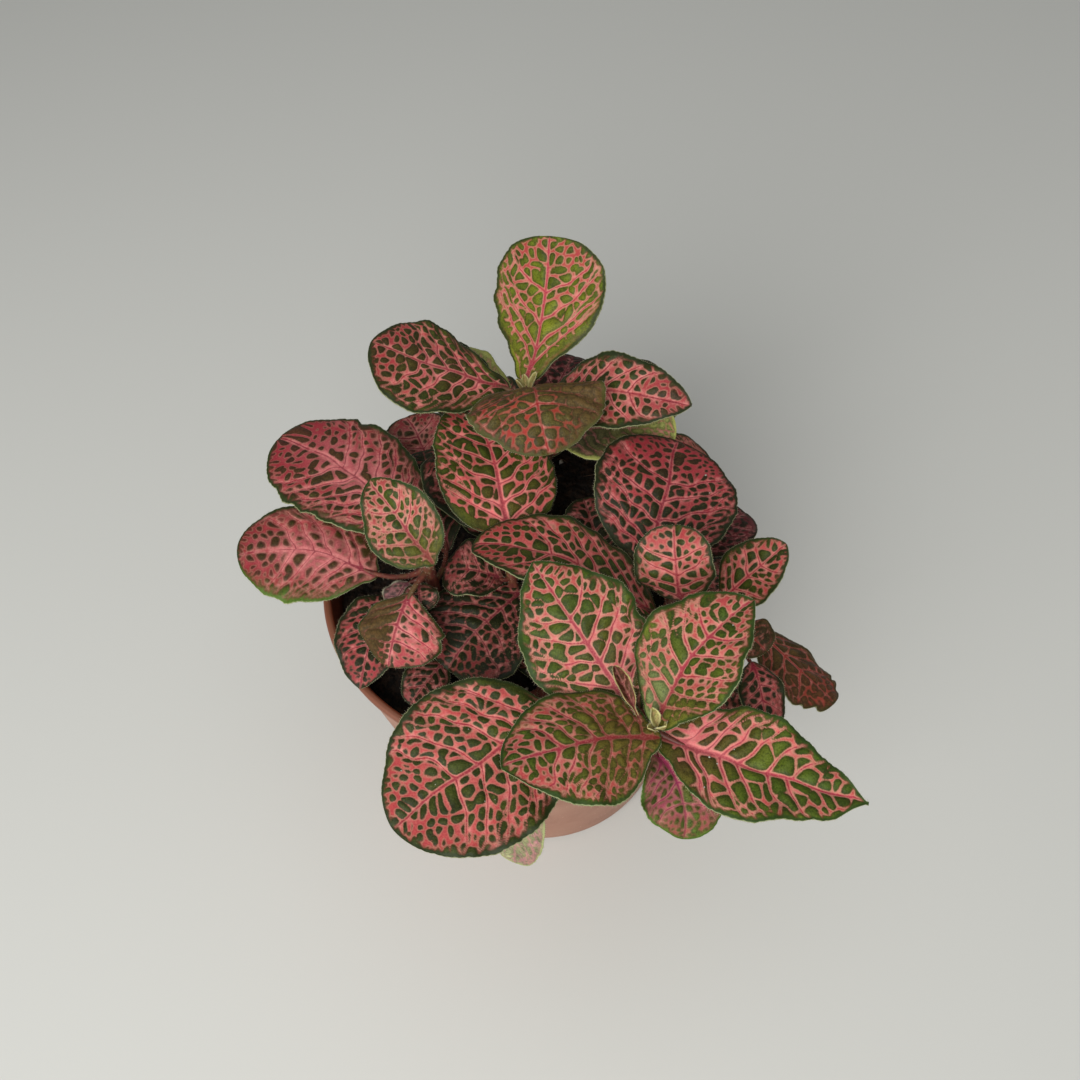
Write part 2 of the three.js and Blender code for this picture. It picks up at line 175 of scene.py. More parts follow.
class Nodes:  # a short way to write a material's nodes
    def __init__(self, name):
        self.material = bpy.data.materials.new(name)
        self.material.use_nodes = True
        self.tree = self.material.node_tree
        self.tree.nodes.clear()
        out = self.tree.nodes.new("ShaderNodeOutputMaterial")
        self.skin = self.tree.nodes.new("ShaderNodeBsdfPrincipled")
        self.tree.links.new(self.skin.outputs[0], out.inputs["Surface"])

    def give(self, socket, value):
        if isinstance(value, bpy.types.NodeSocket):
            self.tree.links.new(value, socket)
        elif hasattr(socket.default_value, "__len__") and not hasattr(value, "__len__"):
            socket.default_value = [value] * len(socket.default_value)
        elif hasattr(value, "__len__") and len(value) == 3 and len(socket.default_value) == 4:
            socket.default_value = [*value, 1]
        else:
            socket.default_value = value

    def set(self, **inputs):  # the skin's own inputs, with _ for a space
        for key, value in inputs.items():
            self.give(self.skin.inputs[key.replace("_", " ")], value)

    def add(self, kind, inputs, **settings):  # a node, what it is set to and what goes into it
        node = self.tree.nodes.new("ShaderNode" + kind)
        for key, value in settings.items():
            setattr(node, key, value)
        for key, value in inputs.items():
            self.give(node.inputs[key], value)
        return node.outputs

    def attribute(self, name, output="Fac"):
        return self.add("Attribute", {}, attribute_name=name)[output]

    def place(self):
        return self.add("TexCoord", {})["Object"]

    def parts(self, vector):
        return self.add("SeparateXYZ", {0: vector})

    def math(self, kind, a, b=0.0, c=0.0):
        return self.add("Math", {0: a, 1: b, 2: c}, operation=kind)[0]

    def times(self, a, b):
        return self.math("MULTIPLY", a, b)

    def scaled(self, vector, factors):
        return self.add("VectorMath", {0: vector, 1: factors}, operation="MULTIPLY")[0]

    def noise(self, size, detail, rough, place):  # size in mm
        inputs = dict(Vector=place, Scale=1 / (size * mm), Detail=detail, Roughness=rough)
        return self.add("TexNoise", inputs)["Fac"]

    def cells(self, size, feature, place):
        return self.add("TexVoronoi", dict(Vector=place, Scale=1 / (size * mm)), feature=feature)["Distance"]

    def ramp(self, value, low, high, start=0.0, end=1.0):
        inputs = {"Value": value, "From Min": low, "From Max": high, "To Min": start, "To Max": end}
        return self.add("MapRange", inputs, interpolation_type="SMOOTHSTEP")[0]

    def blend(self, factor, a, b):
        return self.add("Mix", {0: factor, 6: a, 7: b}, data_type="RGBA")[2]

    def bump(self, height, depth, strength, under=None):  # depth in mm
        inputs = dict(Height=height, Distance=depth * mm, Strength=strength)
        if under is not None:
            inputs["Normal"] = under
        return self.add("Bump", inputs)[0]


# floor and light

stageLook = dict(
    floor=tint(207, 207, 203), floorHalf=3000, roughness=0.62, shine=0.25,  # floorHalf in mm
    sky=tint(214, 216, 215), skyStrength=0.38, lampAim=(0, 0, 0.12),
)
lamps = dict(  # in metres and watts
    window=dict(place=(-0.3, -0.8, 0.74), size=0.9, power=12.5, colour=(1.0, 0.995, 0.97)),
    ceiling=dict(place=(0.0, -0.15, 1.5), size=1.4, power=3.8, colour=(0.99, 0.995, 0.98)),
)


def makeStage():
    half = stageLook["floorHalf"]
    corners = [(-half, -half, 0), (half, -half, 0), (half, half, 0), (-half, half, 0)]
    paint = Nodes("floorPaint")
    paint.set(Base_Color=stageLook["floor"], Roughness=stageLook["roughness"],
              Specular_IOR_Level=stageLook["shine"])
    floor = makeMesh("floor", corners, [[0, 1, 2, 3]], [], [paint.material])
    world = bpy.data.worlds.new("sky")
    world.use_nodes = True
    shade = world.node_tree.nodes["Background"]
    shade.inputs["Color"].default_value = [*stageLook["sky"], 1]
    shade.inputs["Strength"].default_value = stageLook["skyStrength"]
    bpy.context.scene.world = world
    for name, lamp in lamps.items():
        light = bpy.data.lights.new(name, "AREA")
        light.shape = "DISK"
        light.size = lamp["size"]
        light.energy = lamp["power"]
        light.color = lamp["colour"]
        piece = bpy.data.objects.new(name, light)
        spot = np.array(lamp["place"])
        back = unit(spot - stageLook["lampAim"])
        side = unit(np.cross([0, 0, 1.0], back))
        turn = Matrix([side, np.cross(back, side), back]).transposed().to_4x4()
        piece.matrix_world = Matrix.Translation(spot) @ turn
        bpy.context.scene.collection.objects.link(piece)


makeStage()
print("floor, light and camera made")


# leaf tones

# Each tone: island and young island (the green between the veins), vein, its pale middle, its dark line,
# the leaf's margin, net, how wide the veins run, and halo, how strongly a pale line edges them.
tones = dict(
    plain=((51, 58, 13), (84, 94, 22), (182, 74, 70),
           (208, 114, 106), (138, 30, 48), (35, 47, 17), 1.05, 0.25),
    fresh=((60, 78, 15), (104, 112, 30), (182, 80, 72),
           (204, 116, 106), (150, 38, 60), (41, 63, 20), 0.98, 0.4),
    yellow=((84, 96, 18), (122, 130, 28), (170, 78, 62),
            (184, 104, 88), (164, 40, 70), (38, 48, 18), 0.85, 0.35),
    pink=((60, 44, 16), (84, 76, 28), (178, 68, 70),
          (212, 126, 122), (134, 24, 52), (44, 62, 22), 1.5, 0.2),
    deep=((34, 34, 10), (50, 50, 15), (168, 62, 64),
          (188, 92, 90), (122, 20, 44), (30, 40, 16), 1.15, 0.08),
    shade=((26, 28, 8), (38, 40, 14), (132, 52, 50),
           (148, 72, 66), (100, 22, 38), (30, 40, 16), 0.95, 0.06),
    brown=((74, 54, 24), (92, 64, 28), (134, 56, 40),
           (142, 70, 48), (140, 36, 36), (60, 52, 24), 0.8, 0.05),
    bronze=((78, 70, 26), (98, 70, 34), (156, 50, 38),
            (172, 72, 52), (140, 28, 34), (74, 74, 32), 0.8, 0.1),
    maroon=((44, 24, 18), (52, 28, 20), (104, 34, 40),
            (110, 44, 44), (90, 18, 32), (38, 30, 18), 1.1, 0),
    violet=((94, 102, 42), (108, 112, 50), (172, 84, 98),
            (186, 106, 114), (158, 44, 92), (68, 100, 34), 0.95, 0.15),
    whitish=((142, 142, 102), (160, 158, 118), (156, 108, 116),
             (176, 136, 132), (136, 76, 98), (148, 156, 104), 0.8, 0.1),
    under=((150, 154, 84), (162, 162, 98), (176, 128, 100),
           (182, 138, 112), (140, 74, 74), (146, 150, 80), 0.7, 0),
    grey=((92, 70, 66), (110, 90, 84), (126, 88, 92),
          (140, 104, 104), (96, 48, 60), (150, 146, 126), 1.3, 0),
    bud=((192, 182, 108), (214, 204, 134), (204, 178, 124),
         (222, 208, 150), (176, 132, 88), (216, 208, 146), 0.4, 0),
    unfolding=((88, 44, 26), (96, 50, 28), (112, 38, 32),
               (120, 52, 40), (84, 20, 24), (186, 172, 112), 0.9, 0.1),
)
toneParts = ("island", "young", "vein", "pale", "line", "margin", "net", "halo")
for name, row in tones.items():
    tones[name] = dict(zip(toneParts, [tint(*colour) for colour in row[:6]] + list(row[6:])))


# shoots

# The plant, in mm. Each shoot's stem runs from its root through its path to a bud. A blade runs from base to
# tip and is wide across. rise and bend arch its midrib, roll turns it, fold lifts its halves, wave ruffles
# its edge, ripple crimps it, shape says how soon it widens and narrows, reach and baseWide how it ends behind
# the stalk, and at where on the stem the stalk starts. turned shows the under side, alike gives both sides
# one look. tone names the colours, dim makes them darker or lighter, aged runs from 0, young near the stalk,
# to 1, grown all over. patches are places of another colour as (along, across, half length, half width,
# strength, name), nicks are (side, along, width, depth) and specks (along, across, size). veins is the number
# of side veins, 0 for as many as the length asks for, sweep how far they lean forward, low and high. net is
# how wide they run, blur how soft they end, core how wide the dark line in them is, cell how large the
# islands are, band how broad the margin is, stalkRun how far up the stalk's colour runs, mesh a step in mm.
# dim is partly a leaf's own tone; on some leaves it is painted light, lifting a leaf in shade, and on others
# painted shade, darkening a strongly lit one
leafUsual = dict(
    rise=3, bend=0, roll=0, fold=6, wave=0.7, ripple=0.4, shape=(0.6, 0.5), reach=0.05, baseWide=0.26,
    at=0.95, turned=False, alike=0, tone="plain", dim=1, aged=0.8, patches=(), nicks=(), specks=(),
    veins=0, sweep=(0.3, 0.58), net=1, blur=1, core=1, cell=1, band=1, stalkRun=0.25, mesh=0.4,
)


def blade(base, tip, wide, **details):
    return {**leafUsual, **details, "base": base, "tip": tip, "wide": wide}


def lowBlade(base, tip, wide, at):  # a small leaf in the shade of the others
    return blade(base, tip, wide, at=at, mesh=0.9, tone="shade")


shoots = dict(
    back=dict(root=(2, 25), path=[(3, 28, 118), (4, 34, 151)], radius=1.7, bud=7, budTurn=20, leaves=[
        blade((4, 38, 153), (12, 67, 179), 38, roll=20, rise=-3, fold=-3, shape=(0.8, 0.42), tone="yellow",
              aged=0.35, nicks=((-1, 0.45, 0.05, 0.5),), veins=4, cell=1.2, sweep=(0.55, 0.75), core=1.5,
              net=1.2, dim=1.05, patches=((0.1, 0, 0.4, 1.3, 0.4, "lime"),)),
        blade((-3, 37, 150), (-39, 40, 167), 33, roll=3, rise=1, bend=-2, fold=-5, shape=(0.95, 0.6),
              net=0.75, cell=1.15, core=1.5, dim=0.95,
              patches=((0.45, 0, 0.35, 0.5, 0.45, "rose"), (1, 0, 0.3, 1.2, 0.3, "crimson"))),
        # painted shade: dim darkens this strongly lit leaf
        blade((12, 34, 149), (49, 17, 161), 22, roll=-25, rise=6, shape=(0.66, 0.74), net=1.4, dim=0.76,
              patches=((1, 0, 0.3, 1.2, 0.5, "crimson"),)),
        blade((5, 29, 156), (10, 3, 159), 38, rise=9, fold=-4, wave=1.5, tone="bronze", cell=1.25, veins=4,
              blur=1.2, nicks=((1, 0.86, 0.05, 1.6), (-1, 0.9, 0.04, 1.2), (1, 0.7, 0.015, 0.6),
              (-1, 0.75, 0.015, 0.5)),
              # painted sheen: both patches give the olive-brown look of the velvety surface at a glancing
              # angle
              patches=((0.1, 0.3, 0.3, 1, 0.85, "paintedSheen"), (0.4, -0.8, 0.6, 0.55, 0.85, "paintedSheen"))),
        # painted light: dim lifts this pale leaf, which lies in the shade of the leaves above
        blade((-3, 40, 133), (-24, 69, 134), 17, at=0.72, tone="under", turned=True, mesh=0.55, dim=1.35),
        blade((8, 41, 131), (18, 66, 132), 19, at=0.62, tone="maroon", mesh=0.55),
        # painted shade and painted light: the dark patch darkens the part of this pale leaf under the leaf
        # above, and dim lifts the rest, which also lies in its shade
        blade((12, 33, 132), (47, 29, 136), 28, at=0.7, tone="under", turned=True, mesh=0.55, dim=1.6,
              patches=((0.15, 0, 0.6, 2, 0.93, "dark"),)),
        blade((-1, 38, 120), (-22, 75, 110), 28, rise=4, at=0.56, mesh=0.9),
        blade((10, 40, 117), (17, 78, 107), 27, rise=4, at=0.46, mesh=0.9),
    ], lowLeaves=[
        lowBlade((-8, 40, 146), (-33, 55, 141), 22, 0.88),
        lowBlade((17, 35, 141), (45, 43, 144), 22, 0.8),
        lowBlade((15, 36, 127), (41, 51, 121), 23, 0.6),
    ]),
    front=dict(root=(20, -36), path=[(24, -44, 116), (35, -69, 143)], radius=1.7, bud=6, budTurn=125,
               budLift=2.2, leaves=[
        blade((33, -72, 146), (-1, -81, 151), 33, roll=-10, rise=0, bend=2.4, fold=-6, shape=(0.5, 0.75),
              tone="fresh", aged=0.5, reach=0.07, baseWide=0.34, stalkRun=0.6, net=1.05, sweep=(0.05, 0.6),
              veins=6, cell=1, core=4, dim=1.1, patches=((0.0, 0, 0.5, 1.3, 0.95, "bronze"),)),
        blade((36, -66, 147), (58, -46, 163), 30, roll=15, bend=-1.3, fold=8, shape=(0.6, 0.83),
              tone="fresh", aged=0.7, reach=0.12, baseWide=0.5, stalkRun=0.3, net=0.9, sweep=(0.15, 0.6),
              veins=5, core=2.5, specks=((0.78, 0.3, 0.35),),
              patches=((0.0, -0.5, 0.3, 0.6, 0.75, "pale"), (0.02, 0.6, 0.22, 0.6, 0.8, "lime"))),
        blade((39, -70, 139), (82, -86, 138), 28, rise=1, bend=1, fold=10, shape=(0.65, 1.1), tone="fresh",
              reach=0.12, baseWide=0.45, stalkRun=0.2, net=0.95, cell=1.2, sweep=(0.2, 0.42), veins=6,
              dim=1.2, band=0.8, core=1.5,
              patches=((0.1, -0.5, 0.28, 0.7, 0.7, "rose"), (0.1, 0.5, 0.2, 0.7, 0.6, "rose")),
              specks=((0.2, 0.1, 0.6), (0.24, 0.16, 0.4), (0.22, 0.75, 0.45), (0.3, -0.2, 0.3)),
              nicks=((1, 0.6, 0.05, 0.7), (-1, 0.72, 0.04, 0.8), (1, 0.88, 0.1, -1.9),
              (-1, 0.93, 0.07, -1.2))),
        blade((29, -60, 137), (6, -28, 155), 32, roll=14, rise=3.5, fold=-4, shape=(0.68, 0.85),
              tone="fresh", aged=0.9, reach=0.09, stalkRun=0.35, net=0.88, cell=1.1, dim=0.98, core=2,
              patches=((0.15, 0.3, 0.35, 0.8, 0.5, "rose"),),
              nicks=((1, 0.42, 0.05, 1.0), (1, 0.62, 0.05, -0.6))),
        blade((29.4, -64.6, 146.6), (25.2, -55.6, 150.6), 5, rise=0, fold=45, wave=0.5, tone="unfolding",
              aged=0.1, reach=0.2, band=0.7, alike=1),
        blade((35.5, -67, 124), (41, -86.5, 118), 24, roll=15, bend=-2, shape=(0.7, 0.6), at=0.7,
              tone="violet", reach=0.1, net=1.05, blur=1.6, dim=1.08,
              patches=((1.0, 0, 0.3, 1.5, 0.7, "green"),)),
    ], lowLeaves=[
        lowBlade((39, -57, 138), (55, -42, 134), 18, 0.85),
        lowBlade((23, -61, 133), (5, -72, 131), 17, 0.72),
    ]),
    low=dict(root=(4, -34), path=[(6, -42, 112), (9, -53, 126)], radius=1.5, bud=4, budTurn=0, leaves=[
        blade((9, -57, 129), (-30, -85, 126), 44, roll=10, rise=1.5, fold=4, shape=(0.54, 0.6), aged=0.9,
              net=1.02, core=1.5, veins=5, specks=((0.5, -0.45, 0.35), (0.55, -0.4, 0.25), (0.8, 0.6, 0.4),
              (0.4, 0.4, 0.3), (0.7, 0.1, 0.25))),
        blade((3, -66, 113), (-3, -81, 86), 16, at=0.72, tone="whitish", turned=True, net=0.8, cell=0.8,
              blur=1.8, sweep=(0.5, 0.8), band=0.6, dim=1.25),
        blade((6, -40, 114), (5, -20, 110), 20, at=0.6, tone="shade"),
    ], lowLeaves=[
        lowBlade((0, -56, 118), (-15, -81, 112), 22, 0.6),
        lowBlade((13, -50, 118), (29, -66, 113), 18, 0.6),
        lowBlade((-6, -49, 115), (-32, -64, 109), 23, 0.5),
    ]),
    left=dict(root=(-22, -8), path=[(-24, -12, 116), (-24, -16, 138)], radius=1.6, bud=6, budTurn=70,
              leaves=[
        blade((-29.5, -3, 134), (-74.5, 38, 130), 38.5, roll=-4, rise=0.5, bend=4, fold=-2,
              shape=(0.66, 0.46), tone="pink", cell=1.05, dim=0.84, blur=1.6, core=0.9,
              patches=((1, 0, 0.3, 1.4, 0.55, "crimson"), (0.5, 0.1, 0.35, 0.45, 0.75, "rose")),
              nicks=((1, 0.76, 0.025, -1.1), (1, 0.7, 0.04, 0.8))),
        blade((-43, -8, 122), (-82, -3, 126), 32, roll=7, rise=1.2, bend=3.7, fold=-6, shape=(0.51, 0.45),
              tone="pink", net=0.95, cell=1.15, dim=0.84, blur=2.8, core=0.5,
              patches=((0.6, -1, 0.6, 0.3, 0.95, "green"), (0.45, 0, 0.3, 0.5, 0.7, "rose"))),
        blade((-22, -18, 142), (-38, 1, 154), 21, roll=25, rise=1.4, fold=14, shape=(0.51, 0.72),
              tone="fresh", aged=0.8, net=1, cell=0.95, dim=0.8, core=2, stalkRun=0.6,
              patches=((0.0, 0, 0.35, 1.2, 0.9, "lime"),)),
        blade((-29, -24, 134), (-35, -40, 124), 27, fold=-22, rise=2, at=0.9, tone="pink", net=0.8,
              dim=0.95, cell=1.1, core=1.5, nicks=((-1, 0.35, 0.03, -0.8), (-1, 0.45, 0.03, 0.6)),
              # painted sheen and painted shade: this patch browns and darkens the leaf's steep, falling half
              patches=((0.5, 0.8, 0.9, 0.72, 1.0, "paintedSheen"),)),
        blade((-38, -13, 117), (-44, -42, 116), 21, rise=4, shape=(0.53, 0.7), at=0.5, tone="deep", net=0.8,
              dim=0.9),
        blade((-40, 6, 117), (-62, 20, 118), 26, at=0.55, tone="deep", mesh=0.6),
        blade((-21, 0, 124), (-30, 34, 126), 18, at=0.7, tone="shade", net=0.7, mesh=0.55),
        blade((-22, -32, 111), (-31, -44, 109), 14, rise=1, at=0.4, tone="shade"),
        blade((-31, -15, 127), (-35, -22, 125), 9, rise=1, at=0.75, tone="grey"),
        blade((-27, -18, 131), (-26, -26, 129), 10, rise=1, at=0.85, tone="shade"),
    ], lowLeaves=[
        lowBlade((-12, -4, 114), (14, 11, 108), 23, 0.4),
    ]),
    middle=dict(root=(-2, -13), path=[(-2, -12, 114), (-2, -9, 131)], radius=1.6, bud=4, budTurn=0, leaves=[
        blade((-2, -5, 136), (-15, 35, 146), 36, roll=-20, rise=4.7, fold=3, shape=(0.4, 0.66), net=0.92,
              cell=1.1, dim=1.35, core=1.8, band=0.45, patches=((0.1, 0, 0.3, 0.8, 0.4, "rose"),)),
        blade((-5, -13, 124), (-21, -11, 126), 19, at=0.75, tone="shade", mesh=0.55),
        blade((1, -13, 118), (-20, -37, 116), 33, shape=(0.7, 0.46), at=0.55, tone="shade", net=0.75,
              mesh=0.5),
    ], lowLeaves=[
        lowBlade((-9, 2, 129), (-24, 27, 133), 21, 0.9),
        lowBlade((10, -19, 117), (36, -34, 111), 23, 0.5),
        lowBlade((-6, 2, 121), (-13, 31, 114), 23, 0.6),
    ]),
    right=dict(root=(40, -18), path=[(42, -20, 116), (43, -24, 136)], radius=1.6, bud=5, budTurn=0, leaves=[
        blade((37, -12, 127), (47, 25, 137), 42, roll=-15, rise=5, bend=-1, fold=0, at=0.8, tone="deep",
              net=0.92, core=2, specks=((0.75, 0.55, 0.6), (0.62, 0.6, 0.4)),
              patches=((1, 0, 0.4, 1.3, 0.3, "crimson"),)),
        blade((37, -29, 128), (-11, -13, 142), 30, roll=-20, rise=7, fold=8, at=0.85, net=1.1, dim=1.1),
        blade((44, -29, 137), (42, -18, 155), 21, roll=26, rise=3.4, shape=(0.58, 0.45), cell=1.25, net=1.3,
              dim=0.93, core=1.5),
        blade((57, -22, 125), (73, -14, 139), 18, rise=1, shape=(0.51, 0.65), at=0.75, cell=1.15, net=1.05,
              dim=1.15),
        blade((52, 1, 113), (68, 16, 113), 20, at=0.5, tone="maroon", mesh=0.55),
    ], lowLeaves=[
        lowBlade((39, -7, 123), (31, 21, 126), 21, 0.6),
    ]),
    edge=dict(root=(43, -22), path=[(46, -24, 110), (56, -31, 121)], radius=1.3, bud=3, budTurn=0, leaves=[
        blade((65, -27, 118), (85, -48, 112), 21, roll=23, rise=0, fold=-10, shape=(0.58, 0.4), at=0.8,
              tone="brown", net=1.1, cell=1.2, dim=1.25, patches=((0.85, 0, 0.3, 1.2, 0.6, "rust"),),
              nicks=((1, 0.9, 0.03, 1.9), (1, 0.8, 0.02, 1.2), (-1, 0.93, 0.03, 1.6),
              (-1, 0.84, 0.02, 1.3))),
        blade((62, -43, 126), (64, -60, 122), 12, tone="deep", net=0.95, cell=0.9, dim=1.15),
        blade((59, -32, 126), (66, -40, 127), 13, rise=1, tone="brown", net=0.8, cell=0.9),
    ], lowLeaves=[
        lowBlade((51, -39, 116), (58, -67, 110), 22, 0.6),
        lowBlade((52, -18, 113), (69, -1, 108), 18, 0.5),
    ]),
    hind=dict(root=(-25, 14), path=[(-26, 17, 106), (-27, 21, 115)], radius=1.4, bud=5, budTurn=0, leaves=[
        blade((-27, 32, 117), (-37, 51, 123), 23, rise=2, tone="pink", dim=0.6, net=0.85, blur=2),
        blade((-32, 26, 115), (-58, 52, 107), 28, rise=4, at=0.75, mesh=0.9),
    ], lowLeaves=[]),
    small=dict(root=(22, -6), path=[(23, -5, 106), (24, -4, 115)], radius=1.2, bud=3, budTurn=45, leaves=[
        blade((24, -2, 118), (19, 15, 124), 16, rise=2, tone="shade"),
        blade((27, -5, 112), (44, 8, 112), 20, at=0.8, tone="shade", mesh=0.9),
    ], lowLeaves=[]),
    corner=dict(root=(26, 26), path=[(28, 29, 106), (30, 32, 115)], radius=1.4, bud=5, budTurn=90, leaves=[
        blade((36, 30, 117), (61, 33, 109), 26, rise=4, mesh=0.9),
        blade((32, 41, 115), (45, 71, 105), 22, rise=4, at=0.8, mesh=0.9),
    ], lowLeaves=[]),
)


# leaf form

leafMake = dict(
    thick=0.5, edgeThick=0.22, endWidth=0.9,
    fullWidth=24,  # a narrower leaf has all its relief smaller
    stalkRadius=0.9, stalkEnds=(1.12, 0.6), stalkReach=0.12, stalkUnder=0.8, stalkBend=0.35, stalkSides=12,
    waves=2, otherSidePhase=0.37, crimp=9,  # ruffles along an edge, and the length of a crimp
    puff=0.34, puffReach=0.8,  # how far the islands between the veins swell
    ribSink=0.22, ribUnder=0.55,  # the midrib lies low above and stands out below
    quilt=0.42,  # the blade swells between one side vein and the next
    tooth=0.2, toothPitch=1.7,  # the scalloped margin
    uneven=((11, 0.3), (4, 0.1)),  # the margin's slower bumps: their length and depth
)


def sizeOf(leaf):
    return min(1, leaf["wide"] / leafMake["fullWidth"])


def midribOf(leaf, s):  # points and directions along the midrib, at each s from 0, or a little below, to 1
    base, tip = np.array(leaf["base"], float), np.array(leaf["tip"], float)
    along = unit(tip - base)
    level = unit(np.cross(along, [0, 0, 1.0]))
    steep = np.cross(level, along)
    roll = math.radians(leaf["roll"])
    side = level * math.cos(roll) + steep * math.sin(roll)
    up = steep * math.cos(roll) - level * math.sin(roll)
    knee = (base + tip) / 2 + up * 2 * leaf["rise"] + side * 2 * leaf["bend"]
    s = np.asarray(s, float)[..., None]
    held = np.maximum(s, 0)
    point = base * (1 - held) ** 2 + knee * 2 * held * (1 - held) + tip * held ** 2
    point = point + (knee - base) * 2 * np.minimum(s, 0)
    forward = unit((knee - base) * (1 - held) + (tip - knee) * held)
    across = unit(side - forward * (forward @ side)[..., None])
    return point, forward, across, np.cross(across, forward)


def halfWidth(leaf, s, side, draw):  # half the blade's width, with its scallops and nicks
    a, b = leaf["shape"]
    widest = a / (a + b)
    full = (np.maximum(s, 0) ** a * (1 - s) ** b) / (widest ** a * (1 - widest) ** b)
    wing = np.clip((s + leaf["reach"]) / (4 * leaf["reach"]), 0, 1)
    wing = leaf["baseWide"] * np.sqrt(np.sin(math.pi * wing).clip(0))
    full = (full ** 4 + wing ** 4) ** 0.25
    half = np.maximum(leaf["wide"] * full, leafMake["endWidth"]) / 2
    run = np.concatenate([[0], np.cumsum(np.hypot(np.diff(half), np.diff(s) * leaf["length"]))])
    size = sizeOf(leaf)
    pitch = leafMake["toothPitch"] * (0.6 + 0.4 * size)
    teeth = np.abs(np.sin(math.pi * run / pitch + draw.uniform(0, 3)))
    slow = sum(ripples(draw, run, 0 * run, long, 4) * deep for long, deep in leafMake["uneven"])
    change = leafMake["tooth"] * size * (teeth - 0.6) + slow * size
    for nickSide, place, width, depth in leaf["nicks"]:
        if nickSide == side:
            change = change - depth * np.exp(-((s - place) / width) ** 2)
    return np.maximum(half + change * ease(full, 0.12, 0.5), leafMake["endWidth"] / 2)


# net of veins

netMake = dict(
    first=0.05, last=0.6,  # where on the midrib the side veins leave, low and high
    sweepCurve=0.35, sweepRise=0.6,  # how they bend forward, and from where on all sweep fully
    forkFrom=(0.42, 0.66),  # where a side vein forks
    forkSpread=0.46, forkRun=0.38,  # how far its branch goes to the next one
    elongation=1.3, edgeElongation=0.5, slant=0.55,  # islands are long along the side veins, and lean
    seedRoom=0.74, seedTries=18,  # how closely the islands stand, and how often a place is tried
    wander=0.38, wanderSize=9,  # how far the veins stray, in mm
    ribHalf=0.85, sideHalf=0.56, forkShare=0.6, crossHalf=0.34,  # half widths in mm
    uneven=(-0.12, 0.17), openShare=0.07,  # how the cross veins differ, and how many are left out
    softness=3.4,  # a lower number rounds the corners of the islands more
)


def skew(dx, dy, dirX, dirY):  # how far a step goes along a direction, and how far across it
    return dx * dirX + dy * dirY, dx * dirY - dy * dirX


